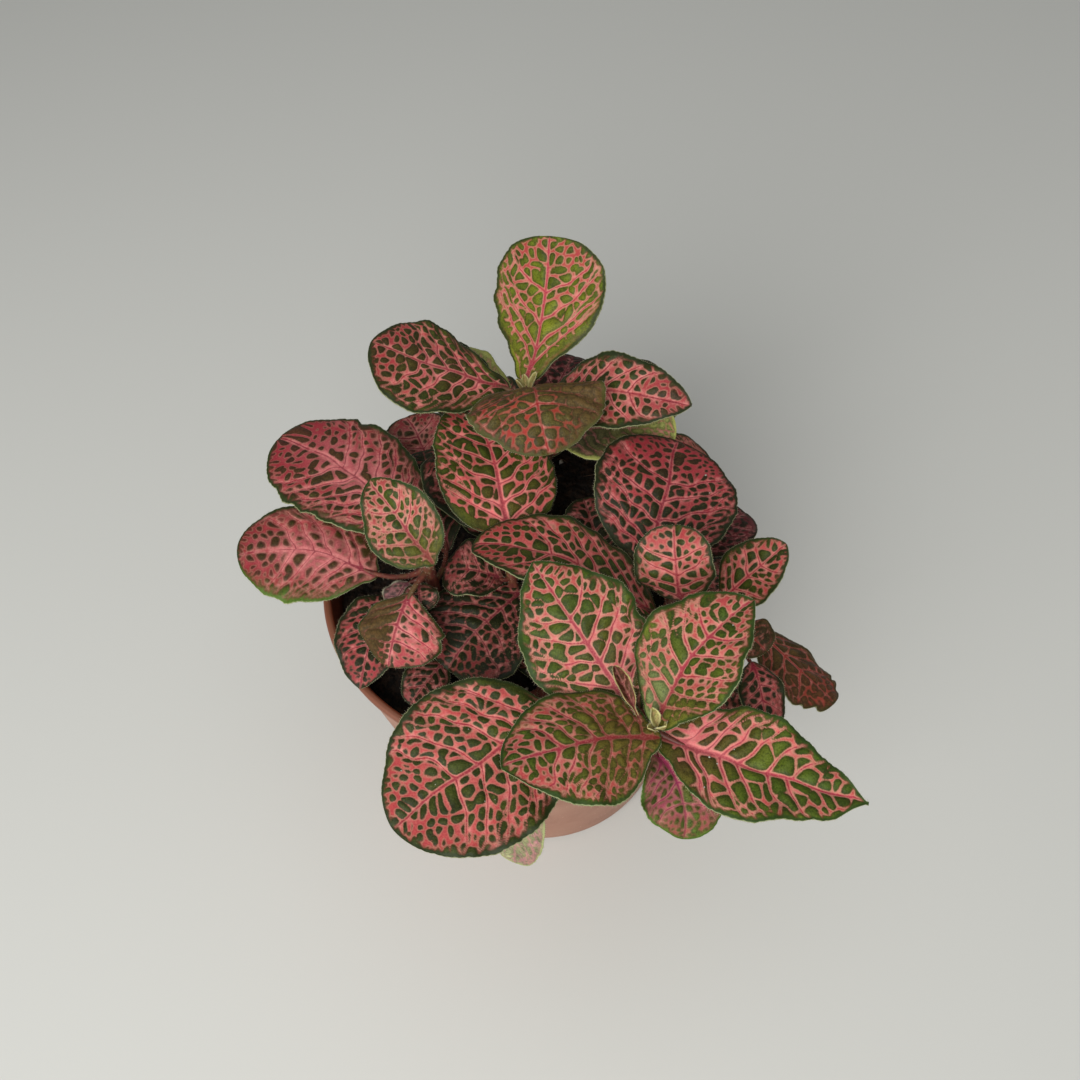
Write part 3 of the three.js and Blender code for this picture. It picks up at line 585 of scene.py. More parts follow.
class Veins:  # the side veins of one half of a blade
    def __init__(self, leaf, way, s, profile, count, draw):
        order = np.arange(count) / (count - 1)
        starts = netMake["first"] + (netMake["last"] - netMake["first"]) * order ** 1.15
        starts = starts + draw.uniform(-0.02, 0.02, count)
        self.marks = np.concatenate([[starts[0] - 3 * starts[1]], starts, [starts[-1] * 4 - starts[-2] * 3]])
        self.ticks = np.concatenate([[-3], np.arange(count), [count + 2]])
        self.lean = draw.uniform(0.9, 1.08)
        late = 0.25 * (1 - ease(leaf["wide"], 16, 34))  # small leaves fork near their margin or not at all
        late = np.where(np.arange(count) < 3, late, 0.7)
        forks = draw.uniform(*netMake["forkFrom"], count) + late
        self.forks = np.append(forks, 1.2)  # the last is for the place below them all
        self.leaf, self.way, self.s, self.profile, self.count = leaf, way, s, profile, count
        self.steepness = np.gradient(profile, s)

    def numberAt(self, s, away):  # which side vein passes there, 0 for the first
        low, high = self.leaf["sweep"]
        curve = netMake["sweepCurve"]
        carried = self.lean * ((1 - curve) * away + curve * away ** 2)
        a, b = np.full(np.shape(s), -1.0), np.full(np.shape(s), 1.2)
        for _ in range(17):
            q = (a + b) / 2
            short = q + carried * (1 - q) * mix(low, high, ease(q, 0, netMake["sweepRise"])) < s
            a, b = np.where(short, q, a), np.where(short, b, q)
        return np.interp(q, self.marks, self.ticks)

    def at(self, s, away):  # the number there, the spacing of the veins and their direction
        tiny = 0.004
        number = self.numberAt(s, away)
        numberS = (self.numberAt(s + tiny, away) - self.numberAt(s - tiny, away)) / (2 * tiny)
        numberA = (self.numberAt(s, away + tiny) - self.numberAt(s, away - tiny)) / (2 * tiny)
        across = numberA / np.interp(s, self.s, self.profile)
        ahead = (numberS - across * away * np.interp(s, self.s, self.steepness)) / self.leaf["length"]
        size = np.maximum(np.hypot(ahead, across), 1e-6)
        return number, 1 / size, -across / size, self.way * ahead / size

    def stripOf(self, number, away):  # between which veins a place lies, and its place between them, 0 to 1
        low = np.clip(np.floor(number), -1, self.count - 1)
        start = self.forks[low.astype(int)]
        split = netMake["forkSpread"] * (1 - (1 - np.clip((away - start) / netMake["forkRun"], 0, 1)) ** 2)
        part = number - low
        past = part > split
        room = np.where(past, np.minimum(part - split, 1 - part), np.minimum(part, split - part))
        room = np.where((low < 0) & past, np.where(low < -0.5, 1 - part, room), room)
        room = np.where((low >= self.count - 1) & past, part - split, room)
        return low * 2 + past, room, np.where(past, 1 - split, split), part - split, away > start

    def seeds(self, cell, draw):  # one seed for each island, thrown at random and kept where there is room
        length, way = self.leaf["length"], self.way
        tries = int(netMake["seedTries"] * length * self.profile.mean() / cell ** 2) + 20
        tossS, tossA = draw.uniform(-self.leaf["reach"], 1, tries), draw.uniform(0, 1, tries) ** 0.75
        tossX, tossY = tossS * length, tossA * np.interp(tossS, self.s, self.profile)
        number, width, dirX, dirY = self.at(tossS, tossA)
        lean = (draw.uniform(-1, 1, tries) * (1 - 0.5 * tossA)) * netMake["slant"] - 0.12 * way
        sine, cosine = np.sin(lean), np.cos(lean)
        dirX, dirY = dirX * cosine - dirY * sine, dirX * sine + dirY * cosine
        sizes = cell * (1.25 - 0.62 * tossA) * (1.1 - 0.2 * tossS) * draw.uniform(0.72, 1.2, tries)
        stretches = netMake["edgeElongation"] * tossA ** 2 * draw.uniform(0.5, 1.1, tries)
        stretches = netMake["elongation"] + stretches
        strips, room, broad, _, _ = self.stripOf(number, tossA)
        clear = room * width > 0.3 * np.minimum(sizes, broad * width)
        clear &= (tossY > 0.35 * sizes) & (tossA < 0.98) & (number > -2.9)
        kept = []
        for k in np.nonzero(clear)[0]:
            if kept:
                gone = np.array(kept)
                run, cross = skew(tossX[k] - gone[:, 0], way * tossY[k] - gone[:, 1], dirX[k], dirY[k])
                if np.hypot(run / stretches[k], cross).min() < netMake["seedRoom"] * sizes[k]:
                    continue
            kept.append((tossX[k], way * tossY[k], dirX[k], dirY[k], strips[k], stretches[k]))
        return np.array(kept).reshape(-1, 6)


def toBorder(x, y, seeds, draw):  # how far each place is from the border of the island it lies in
    seedX, seedY, dirX, dirY, _, stretch = seeds.T
    run, cross = skew(x[:, None] - seedX, y[:, None] - seedY, dirX, dirY)
    reach = (run / stretch) ** 2 + cross ** 2
    nearest = reach.argmin(1)
    run, cross = skew(seedX[:, None] - seedX, seedY[:, None] - seedY, dirX, dirY)
    apart = np.hypot(run / stretch ** 2, cross)[nearest]
    bisector = (reach - reach.min(1)[:, None]) / (2 * np.maximum(apart, 1e-6))
    every = np.arange(len(nearest))
    bisector[every, nearest] = 99
    second = bisector.argmin(1)
    slighter = draw.uniform(*netMake["uneven"], (len(seeds), len(seeds)))
    slighter = np.where(draw.uniform(size=slighter.shape) < netMake["openShare"], 0.8, slighter)
    slighter = np.triu(slighter, 1) + np.triu(slighter, 1).T
    beyond = np.maximum(bisector, bisector.min(1)[:, None]) + slighter[second]
    beyond[every, second] = 99
    borders = np.concatenate([bisector + slighter[nearest], beyond], 1)
    return -np.log(np.exp(-5 * np.clip(borders, -1, 9)).sum(1)) / 5


def toMargin(x, y, s, half, length):
    outline = [np.stack([s[:, side] * length, sign * half[:, side]], -1) for side, sign in ((0, -1), (-1, 1))]
    outline = np.concatenate(outline)
    flat = np.stack([x.ravel(), y.ravel()], -1)
    rim = np.full(len(flat), 99.0)
    for block in range(0, len(outline), 24):
        edge = outline[block:block + 24]
        rim = np.minimum(rim, np.sqrt(((flat[:, None] - edge[None]) ** 2).sum(-1)).min(1))
    return rim.reshape(s.shape)


def netOf(leaf, s, t, x, y, half, draw):
    # fields over the blade, in mm: gap is how far a place is from the nearest vein's edge, lateral the number
    # of the side vein it lies by, spacing how far apart those are, fork its distance from a fork's branch,
    # rib that from the midrib, core half the width of the dark line, rim its distance from the margin
    length, tone = leaf["length"], tones[leaf["tone"]]
    count = leaf["veins"] or int(round(2.8 + length / 19))
    strayX = netMake["wander"] * ripples(draw, x, y, netMake["wanderSize"])
    strayY = netMake["wander"] * ripples(draw, x, y, netMake["wanderSize"]) * ease(np.abs(y), 0, 3)
    bow = 0.35 * ripples(draw, x, np.zeros_like(y), 22, 3) * ease(s, 0, 0.2) * leaf["wide"] / 30
    xs, ys = x + strayX, y + strayY + bow * (1 - ease(np.abs(y), 0, 5))
    sHere = np.clip(xs / length, -leaf["reach"], 1)
    away = np.clip(np.abs(ys) / half, 0, 1)
    lateral, spacing = np.zeros_like(x), np.ones_like(x)
    toCell, fork = np.full(x.shape, 9.0), np.full(x.shape, 9.0)
    cell = (1.3 + 0.031 * length) * leaf["cell"]
    for way, profile in ((-1, half[:, 0]), (1, half[:, -1])):
        here = np.where(ys >= 0, 1, -1) == way
        veins = Veins(leaf, way, s[:, 0], profile, count, draw)
        lateral[here], spacing[here], _, _ = veins.at(sHere[here], away[here])
        strip = np.full(x.shape, -99.0)
        strip[here], _, _, toFork, forked = veins.stripOf(lateral[here], away[here])
        fork[here] = np.where(forked, toFork * spacing[here], 9)
        seeds = veins.seeds(cell, draw)
        for band in np.unique(seeds[:, 4]):
            mine, own = here & (strip == band), seeds[seeds[:, 4] == band]
            if mine.any() and len(own) > 1:
                toCell[mine] = toBorder(xs[mine], ys[mine], own, draw)
    near = np.clip(lateral, -0.49, count - 0.51)
    toSide = np.abs(near - np.round(near)) * spacing
    toRib = np.abs(y + bow)

    # the veins thin out towards the margin and the tip
    rim = toMargin(x, y, s, half, length)
    band = (0.42 + 0.018 * length) * leaf["band"] * (1 + 0.25 * ripples(draw, x, y, 14))
    band = band * (0.5 + 0.5 * ease(s, 0.02, 0.3)) * (1 - 0.4 * ease(s, 0.65, 0.95))
    uneven = rim + 0.35 * band * ripples(draw, x, y, 4)
    fade = ease(uneven, -0.2 * band, 2.8 * band)
    fadeSide = ease(uneven, -0.3 * band, 2.0 * band)
    end = 1 - ease(uneven, 0.1 * band, 0.7 * band)
    slim = ease(leaf["wide"], 4, 32) * 0.55 + 0.48
    spread = spreadOf(leaf, s, t)
    grow = tone["net"] * leaf["net"] * slim * (1 + 0.18 * ripples(draw, x, y, 9))
    ribHalf = netMake["ribHalf"] * (1 - 0.6 * s) * grow * (0.5 + 0.5 * fade) * np.maximum(spread, 0.85)
    grow = grow * spread
    sideHalf = netMake["sideHalf"] * (1 - 0.52 * away) * grow * (0.3 + 0.7 * fadeSide)
    crossHalf = netMake["crossHalf"] * grow * (0.4 + 0.6 * fade) * (1 + 0.3 * ripples(draw, x, y, 5))
    crossHalf = crossHalf - 0.3 * (1 - ease(crossHalf, 0.08, 0.2))
    lost, lostSide = 0.15 * (1 - fade), 0.15 * (1 - fadeSide)
    gaps = (toRib - ribHalf, toSide - sideHalf + lostSide,
            np.abs(fork) - sideHalf * netMake["forkShare"] + lostSide, toCell - crossHalf + lost)
    softness = netMake["softness"] + 5 * (1 - fade)
    gap = -np.log(sum(np.exp(-softness * np.minimum(gap, 9)) for gap in gaps)) / softness + 0.1 + 0.7 * end

    # the dark line down each vein
    stalkward = (1 - ease(s, 0, leaf["stalkRun"])) * (1 - ease(np.abs(y), 0.5, 1.6))
    coreHalf = 0.17 * (1 - 0.5 * away) * min(leaf["core"], 1) * (1 + 0.3 * ripples(draw, x, y, 6))
    coreHalf = coreHalf + leaf["core"] * (1 - ease(toRib, 0.5, 1.1)) * (0.04 + 0.12 * (1 - s) ** 1.5)
    coreHalf = (coreHalf + 0.45 * stalkward) * slim
    coreHalf = coreHalf * ease(rim, 0.3 * band, 2 * band)
    halo = tone["halo"] * np.minimum(spread, 1) ** 2
    fields = dict(gap=gap, lateral=near, spacing=spacing, fork=fork, rib=toRib, core=coreHalf, rim=rim / band,
                  halo=halo)
    return fields, rim


# patches: island and vein colours, and how much wider the veins run in them
patchTints = dict(
    lime=(tint(104, 100, 36), tint(150, 76, 52), 0.55), rust=(tint(104, 56, 36), tint(150, 62, 50), 0.7),
    # the patch after pale is painted shade, for the part of a leaf that lies under another
    pale=(tint(134, 144, 92), tint(178, 96, 84), 0.75), dark=(tint(40, 30, 24), tint(84, 48, 46), 0.6),
    # the patch after rose is painted sheen: the olive-brown that the velvety surface shows at a glancing
    # angle
    rose=(tint(92, 60, 36), tint(206, 108, 112), 1.75), paintedSheen=(tint(96, 70, 38), tint(118, 60, 40), 0.12),
    green=(tint(82, 110, 34), tint(150, 84, 60), 0.45), bronze=(tint(100, 84, 32), tint(140, 52, 36), 0.45),
    crimson=(tint(96, 36, 36), tint(172, 50, 64), 1.4),
)


def coverOf(patch, s, t):  # how strongly a patch covers each place
    place, across, long, wide, strength, _ = patch
    reach = ((s - place) / long) ** 2 + ((t - across) / wide) ** 2
    return strength * np.exp(-reach ** 1.5)


def spreadOf(leaf, s, t):  # how much wider the leaf's patches make the veins
    spread = np.ones_like(s)
    for patch in leaf["patches"]:
        spread = mix(spread, patchTints[patch[-1]][2], coverOf(patch, s, t))
    return spread


def coloursOf(leaf, s, t, x, y, draw):  # the green and the pink at every place of the upper side
    tone = tones[leaf["tone"]]
    away = np.abs(t)[..., None]
    young = (1 - leaf["aged"]) * (1 - ease(s, 0.2, 0.95)) + 0.16 * ripples(draw, x, y, 16)
    young = np.clip(young + 0.05, 0, 1)[..., None]
    island = mix(tone["island"], tone["young"], young)
    island = island * (1 + 0.2 * ripples(draw, x, y, 9)[..., None])
    middle = (1 - ease(away, 0.05, 0.8)) * (1 - 0.5 * ease(s[..., None], 0.5, 1))
    pale = np.clip(middle * 0.6 + 0.25 * ripples(draw, x, y, 10)[..., None], 0, 1)
    vein = mix(tone["vein"], tone["pale"], pale)
    outer = ease(np.maximum(s, 0.9 * np.abs(t)), 0.55, 1)[..., None]
    line = tone["line"] + 0 * vein
    vein = vein * (1 - outer * [0.16, 0.3, 0.26])
    for patch in leaf["patches"]:
        cover = coverOf(patch, s, t)[..., None]
        island = mix(island, patchTints[patch[-1]][0], cover)
        vein = mix(vein, patchTints[patch[-1]][1], cover)
        line = mix(line, patchTints[patch[-1]][1] * 0.5, 0.8 * cover)
    return [(colour * leaf["dim"]).clip(0, 1) for colour in (island, vein, line)]


def stemCurve(points, at):  # a smooth curve through three or more points, even in at from 0 to 1
    points = [np.array(p, float) for p in points]
    spans = len(points) - 1
    place = min(int(at * spans), spans - 1)
    f = at * spans - place
    b, c = points[place], points[place + 1]
    a = points[place - 1] if place > 0 else 2 * b - c
    d = points[place + 2] if place + 2 <= spans else 2 * c - b
    ab, bc, cd = (max(np.linalg.norm(q - p), 1e-4) ** 0.5 for p, q in ((a, b), (b, c), (c, d)))
    go = ((b - a) / ab - (c - a) / (ab + bc) + (c - b) / bc) * bc
    come = ((c - b) / bc - (d - b) / (bc + cd) + (d - c) / cd) * bc
    return b + go * f + (3 * (c - b) - 2 * go - come) * f ** 2 + (2 * (b - c) + go + come) * f ** 3


def stalkPath(leaf, start, steps=14):  # from the stem to a little way up the midrib, under the blade
    point, forward, _, outward = midribOf(leaf, leafMake["stalkReach"])
    end = point - outward * leafMake["stalkUnder"]
    bend = np.array(leaf["base"], float) - forward * leafMake["stalkBend"] * np.linalg.norm(start - point)
    f = np.linspace(0, 1, steps)[:, None]
    return start * (1 - f) ** 2 + bend * 2 * f * (1 - f) + end * f ** 2


def stitch(upper, lower, turned):  # joins an edge to one with half as many steps
    a, b, c = upper[:-2:2], upper[1:-1:2], upper[2::2]
    p, q = lower[:-1], lower[1:]
    rows = np.concatenate([np.stack(r, -1) for r in ((a, b, p), (b, q, p), (b, c, q))])
    return rows[:, ::-1] if turned else rows


def reliefOf(leaf, s, t, y, half, net, rim, draw):
    # how far the blade's middle is lifted, and how far its upper and under side are from that, in mm
    away, size = np.abs(t), sizeOf(leaf)
    offset = np.where(t > 0, 0, leafMake["otherSidePhase"])
    belly = np.sqrt(np.sin(math.pi * s.clip(0, 1)).clip(0))
    ruffle = np.sin(2 * math.pi * (leafMake["waves"] * s + offset)) * belly
    lift = away * math.sin(math.radians(leaf["fold"])) * half + leaf["wave"] * away ** 3 * ruffle
    phase = np.where(t > 0, draw.uniform(0, 6), draw.uniform(0, 6))
    crimp = np.sin(2 * math.pi * leaf["length"] / leafMake["crimp"] * s + phase)
    lift = lift + leaf["ripple"] * size * away ** 4 * crimp * belly
    between = np.sin(math.pi * net["lateral"]) ** 2
    inside = ease(rim, 0, 3) * ease(np.abs(y), 0.3, 2.5)
    lift = lift + leafMake["quilt"] * size * (between - 0.4) * inside
    puff = 1 - np.exp(-np.maximum(net["gap"], 0) / leafMake["puffReach"])
    puff = leafMake["puff"] * size * puff * ease(rim, 0, 1.2)
    sink = leafMake["ribSink"] * size * np.exp(-((y / 0.9) ** 2)) * (1 - 0.6 * s)
    keel = leafMake["ribUnder"] * size * np.exp(-((y / 0.7) ** 2)) * (1 - 0.75 * s)
    if leaf["turned"]:
        puff, sink, keel = -puff * 0.6, -sink * 2, -keel * 0.3
    thick = mix(leafMake["edgeThick"], leafMake["thick"], ease(rim, 0, 2.5))
    return lift, thick / 2 + puff - sink, thick / 2 - puff * 0.5 + keel


def keepLooks(mesh, leaf, s, t, net, colours, stalkCount):
    # what the material reads, on the upper side, the under side and the stalk
    def both(field, wide=1):
        sides = [field.reshape(-1, wide), field[::2, ::2].reshape(-1, wide), np.zeros((stalkCount, wide))]
        return np.concatenate(sides)

    face = np.concatenate([np.ones(s.size), np.full(s[::2, ::2].size, leaf["alike"]), np.zeros(stalkCount)])
    fields = {key: both(values) for key, values in net.items()}
    fields.update(upperFace=face, blur=np.full(len(face), leafFinish["soft"] * leaf["blur"]))
    for key, values in fields.items():
        layer = mesh.attributes.new(key, "FLOAT", "POINT")
        layer.data.foreach_set("value", values.astype(np.float32).ravel())
    margin = np.ones((*s.shape, 3)) * leaf["dim"] * tones[leaf["tone"]]["margin"]
    for patch in leaf["patches"]:
        if patch[-1] == "green":
            margin = mix(margin, patchTints["green"][0], coverOf(patch, s, t)[..., None])
    for key, values in zip(("island", "vein", "line", "margin"), (*colours, margin)):
        layer = mesh.attributes.new(key, "FLOAT_COLOR", "POINT")
        opaque = np.concatenate([both(values, 3), np.ones((len(face), 1))], 1)
        layer.data.foreach_set("color", opaque.astype(np.float32).ravel())


def leafMesh(name, leaf, start):  # a blade with its stalk, which starts on the stem
    draw = drawFor(name)
    fine = np.linspace(0, 1, 60)
    leaf["length"] = np.linalg.norm(np.diff(midribOf(leaf, fine)[0], axis=0), axis=1).sum()
    rows = 2 * max(8, int(leaf["length"] * 0.64 / leaf["mesh"]))
    columns = 4 * max(3, int(leaf["wide"] / leaf["mesh"] / 4))
    even = np.linspace(0, 1, rows + 1)
    places = 0.45 * even + 0.55 * (1 - np.cos(math.pi * even)) / 2  # closer at both ends
    places = places * (1 + leaf["reach"]) - leaf["reach"]
    s, t = np.meshgrid(places, np.linspace(-1, 1, columns + 1), indexing="ij")
    halves = [halfWidth(leaf, places, side, draw)[:, None] for side in (-1, 1)]
    half = np.where(t < 0, halves[0], halves[1])
    half[:, columns // 2] = (halves[0] + halves[1])[:, 0] / 2
    x, y = s * leaf["length"], t * half
    net, rim = netOf(leaf, s, t, x, y, half, draw)
    colours = coloursOf(leaf, s, t, x, y, draw)

    point, forward, across, outward = midribOf(leaf, places)
    lift, over, beneath = reliefOf(leaf, s, t, y, half, net, rim, draw)
    spread = (t * half * math.cos(math.radians(leaf["fold"])))[..., None]
    middle = point[:, None] + across[:, None] * spread + outward[:, None] * lift[..., None]
    above = middle + outward[:, None] * over[..., None]
    below = (middle - outward[:, None] * beneath[..., None])[::2, ::2]
    top = np.arange(s.size).reshape(s.shape)
    under = top.size + np.arange(below[..., 0].size).reshape(below.shape[:2])
    quads = [np.stack([g[:-1, :-1], g[:-1, 1:], g[1:, 1:], g[1:, :-1]], -1) for g in (top, under)]
    quads = [quads[0].reshape(-1, 4), quads[1].reshape(-1, 4)[:, ::-1]]
    edges = [
        stitch(top[:, 0], under[:, 0], False), stitch(top[:, -1], under[:, -1], True),
        stitch(top[0], under[0], True), stitch(top[-1], under[-1], False)]
    path = stalkPath(leaf, start)
    thickness = leafMake["stalkRadius"] * (0.62 + 0.38 * sizeOf(leaf))
    radii = thickness * np.linspace(*leafMake["stalkEnds"], len(path))
    stalk, stalkQuads, stalkFans = tube(path, radii, leafMake["stalkSides"])
    first = top.size + under.size
    points = np.concatenate([above.reshape(-1, 3), below.reshape(-1, 3), stalk])
    allQuads = np.concatenate([*quads, stalkQuads + first])
    allFans = np.concatenate([*edges, stalkFans + first])
    slots = [np.full(len(faces), slot) for faces, slot in (
        (np.concatenate(quads), 0), (stalkQuads, 1), (np.concatenate(edges), 0), (stalkFans, 1))]
    skins = [leafMaterial, stalkMaterial]
    piece = makeMesh(name, points, allQuads, allFans, skins, np.concatenate(slots))
    keepLooks(piece.data, leaf, s, t, net, colours, len(stalk))
    unwrapLeaf(piece.data, leaf, x, y, top.size, under.size, len(path))

    if leaf["mesh"] < hairMake["meshBelow"]:
        for way, column in ((-1, 0), (1, -1)):
            run = runOf(middle[:, column])
            spots = np.arange(0.5, run[-1], hairMake["leafEach"] * min(1, 0.4 + sizeOf(leaf)))
            roots = np.stack([np.interp(spots, run, middle[:, column, axis]) for axis in range(3)], -1)
            facing = np.stack([np.interp(spots, run, (across * way)[:, axis]) for axis in range(3)], -1)
            hairs.append(hairsOn(draw, roots, facing, hairMake["leafLong"]))
    hairs.append(hairsAlong(draw, path, radii))
    for place, aside, wide in leaf["specks"]:
        row, column = np.abs(places - place).argmin(), int((aside + 1) / 2 * columns)
        specks.append((above[row, column] + outward[row] * wide * 0.2, wide))
    return piece


# The leaf's UV map has the upper side on the left, the under side on the right and the
# stalk below. aside is the middle of the upper side, and beside how far the under side is from it.
leafMap = dict(aside=0.25, half=0.235, foot=0.12, tall=0.86, beside=0.5, room=0.58, edge=0.004,
               stalkAside=0.03, stalkLong=0.9, stalkFoot=0.01, stalkTall=0.08)


def unwrapLeaf(mesh, leaf, x, y, topCount, underCount, rings):
    m = leafMap
    reach = leaf["wide"] * m["room"]
    u = m["aside"] + y / reach * m["half"]
    v = m["foot"] + (x / leaf["length"] + leaf["reach"]) / (1 + leaf["reach"]) * m["tall"]
    places = [np.stack([u.ravel(), v.ravel()], -1)]
    places.append(np.stack([u[::2, ::2].ravel() + m["beside"], v[::2, ::2].ravel()], -1))
    sides = (len(mesh.vertices) - topCount - underCount - 2) // rings
    ring = np.repeat(np.arange(rings), sides)
    turn = np.tile(np.arange(sides), rings)
    along, around = m["stalkLong"] * ring / rings, m["stalkTall"] * turn / sides
    places.append(np.stack([m["stalkAside"] + along, m["stalkFoot"] + around], -1))
    places.append(np.array([[0.01, 0.05], [0.97, 0.05]]))  # the stalk's two end points
    places = np.concatenate(places)
    corner = np.zeros(len(mesh.loops), int)
    mesh.loops.foreach_get("vertex_index", corner)
    uv = places[corner]
    starts = np.zeros(len(mesh.polygons), int)
    totals = np.zeros(len(mesh.polygons), int)
    mesh.polygons.foreach_get("loop_start", starts)
    mesh.polygons.foreach_get("loop_total", totals)
    owner = np.repeat(np.arange(len(starts)), totals)
    onTop = corner < topCount
    onUnder = (corner >= topCount) & (corner < topCount + underCount)
    hasTop = np.bincount(owner, onTop, len(starts)) > 0
    strip = hasTop[owner] & onUnder  # the thin edge goes just outside the upper side
    uv[strip, 0] -= m["beside"]
    outward = np.sign(uv[strip] - [m["aside"], m["foot"] + m["tall"] / 2])
    uv[strip] += outward * m["edge"]
    stalkEnd = (corner >= topCount + underCount) & (corner < len(mesh.vertices) - 2)
    index = corner - topCount - underCount
    wraps = stalkEnd & (index % sides == 0)
    high = stalkEnd & (index % sides == sides - 1)
    hasHigh = np.bincount(owner, high, len(starts)) > 0
    uv[wraps & hasHigh[owner], 1] += m["stalkTall"]
    mesh.uv_layers.new(name="OFBake").data.foreach_set("uv", uv.astype(np.float32).ravel())


# hairs

hairMake = dict(
    radius=0.045, spread=0.35, leafEach=0.6, leafLong=(0.3, 0.75), stalkPerMm=3, stalkLong=(0.4, 0.9),
    meshBelow=0.6,  # leaves of a coarser mesh lie hidden, and get no hairs on their margin
    colour=tint(196, 186, 160), roughness=0.6,
)
hairs, specks = [], []  # filled while the leaves and stems are made


def hairsOn(draw, roots, ways, long):  # thin three-sided spikes
    ways = unit(ways + draw.normal(0, hairMake["spread"], ways.shape))
    side = unit(np.cross(ways, draw.normal(size=ways.shape)))
    other = np.cross(ways, side)
    corners = [side * math.cos(a) + other * math.sin(a) for a in (0, 2.1, 4.2)]
    foot = [roots + hairMake["radius"] * corner for corner in corners]
    tips = roots + ways * draw.uniform(*long, (len(roots), 1))
    k = np.arange(len(roots)) * 4
    faces = [(k, k + 1, k + 3), (k + 1, k + 2, k + 3), (k + 2, k, k + 3), (k, k + 2, k + 1)]
    return np.stack([*foot, tips], 1).reshape(-1, 3), [], np.concatenate([np.stack(f, -1) for f in faces])


def hairsAlong(draw, path, radii):  # hairs on a stem or stalk
    path = np.asarray(path, float)
    run = np.linalg.norm(np.diff(path, axis=0), axis=1).sum()
    f = draw.uniform(0, len(path) - 1.001, int(run * hairMake["stalkPerMm"]))
    k = f.astype(int)
    centre = mix(path[k], path[k + 1], (f - k)[:, None])
    ahead = unit(path[k + 1] - path[k])
    ways = unit(np.cross(ahead, draw.normal(size=ahead.shape)))
    return hairsOn(draw, centre + ways * (np.asarray(radii)[k] * 0.97)[:, None], ways, hairMake["stalkLong"])


# leaf finish

leafFinish = dict(  # sizes and depths in mm
    roughness=0.52, shine=0.2, sheen=0.02, sheenTint=tint(255, 226, 200),
    wobble=0.36, wobbleSize=0.6, soft=0.24,  # how ragged and how soft the net's edge is
    grainSize=0.5, mottleSize=1.3, speckSize=0.42,
    pimpleSize=0.34, pimpleDeep=0.08, creaseSize=0.9, creaseDeep=0.15,
    cream=tint(230, 152, 146), halo=tint(214, 156, 132),
    # paleEdge is partly the hairy margin's own colour and partly a painted highlight on it
    paleEdge=tint(176, 178, 132), underIsland=tint(136, 146, 96), underVein=tint(178, 116, 108),
    islandEdge=(0.01, 0.01, 0.003), mottle=(0.006, 0.012, 0.003), speck=(0.004, 0.009, 0.002),
    # light is the colour of the painted highlight specks on the islands
    light=(0.22, 0.24, 0.07), marginDark=(0.012, 0.016, 0.006),
)


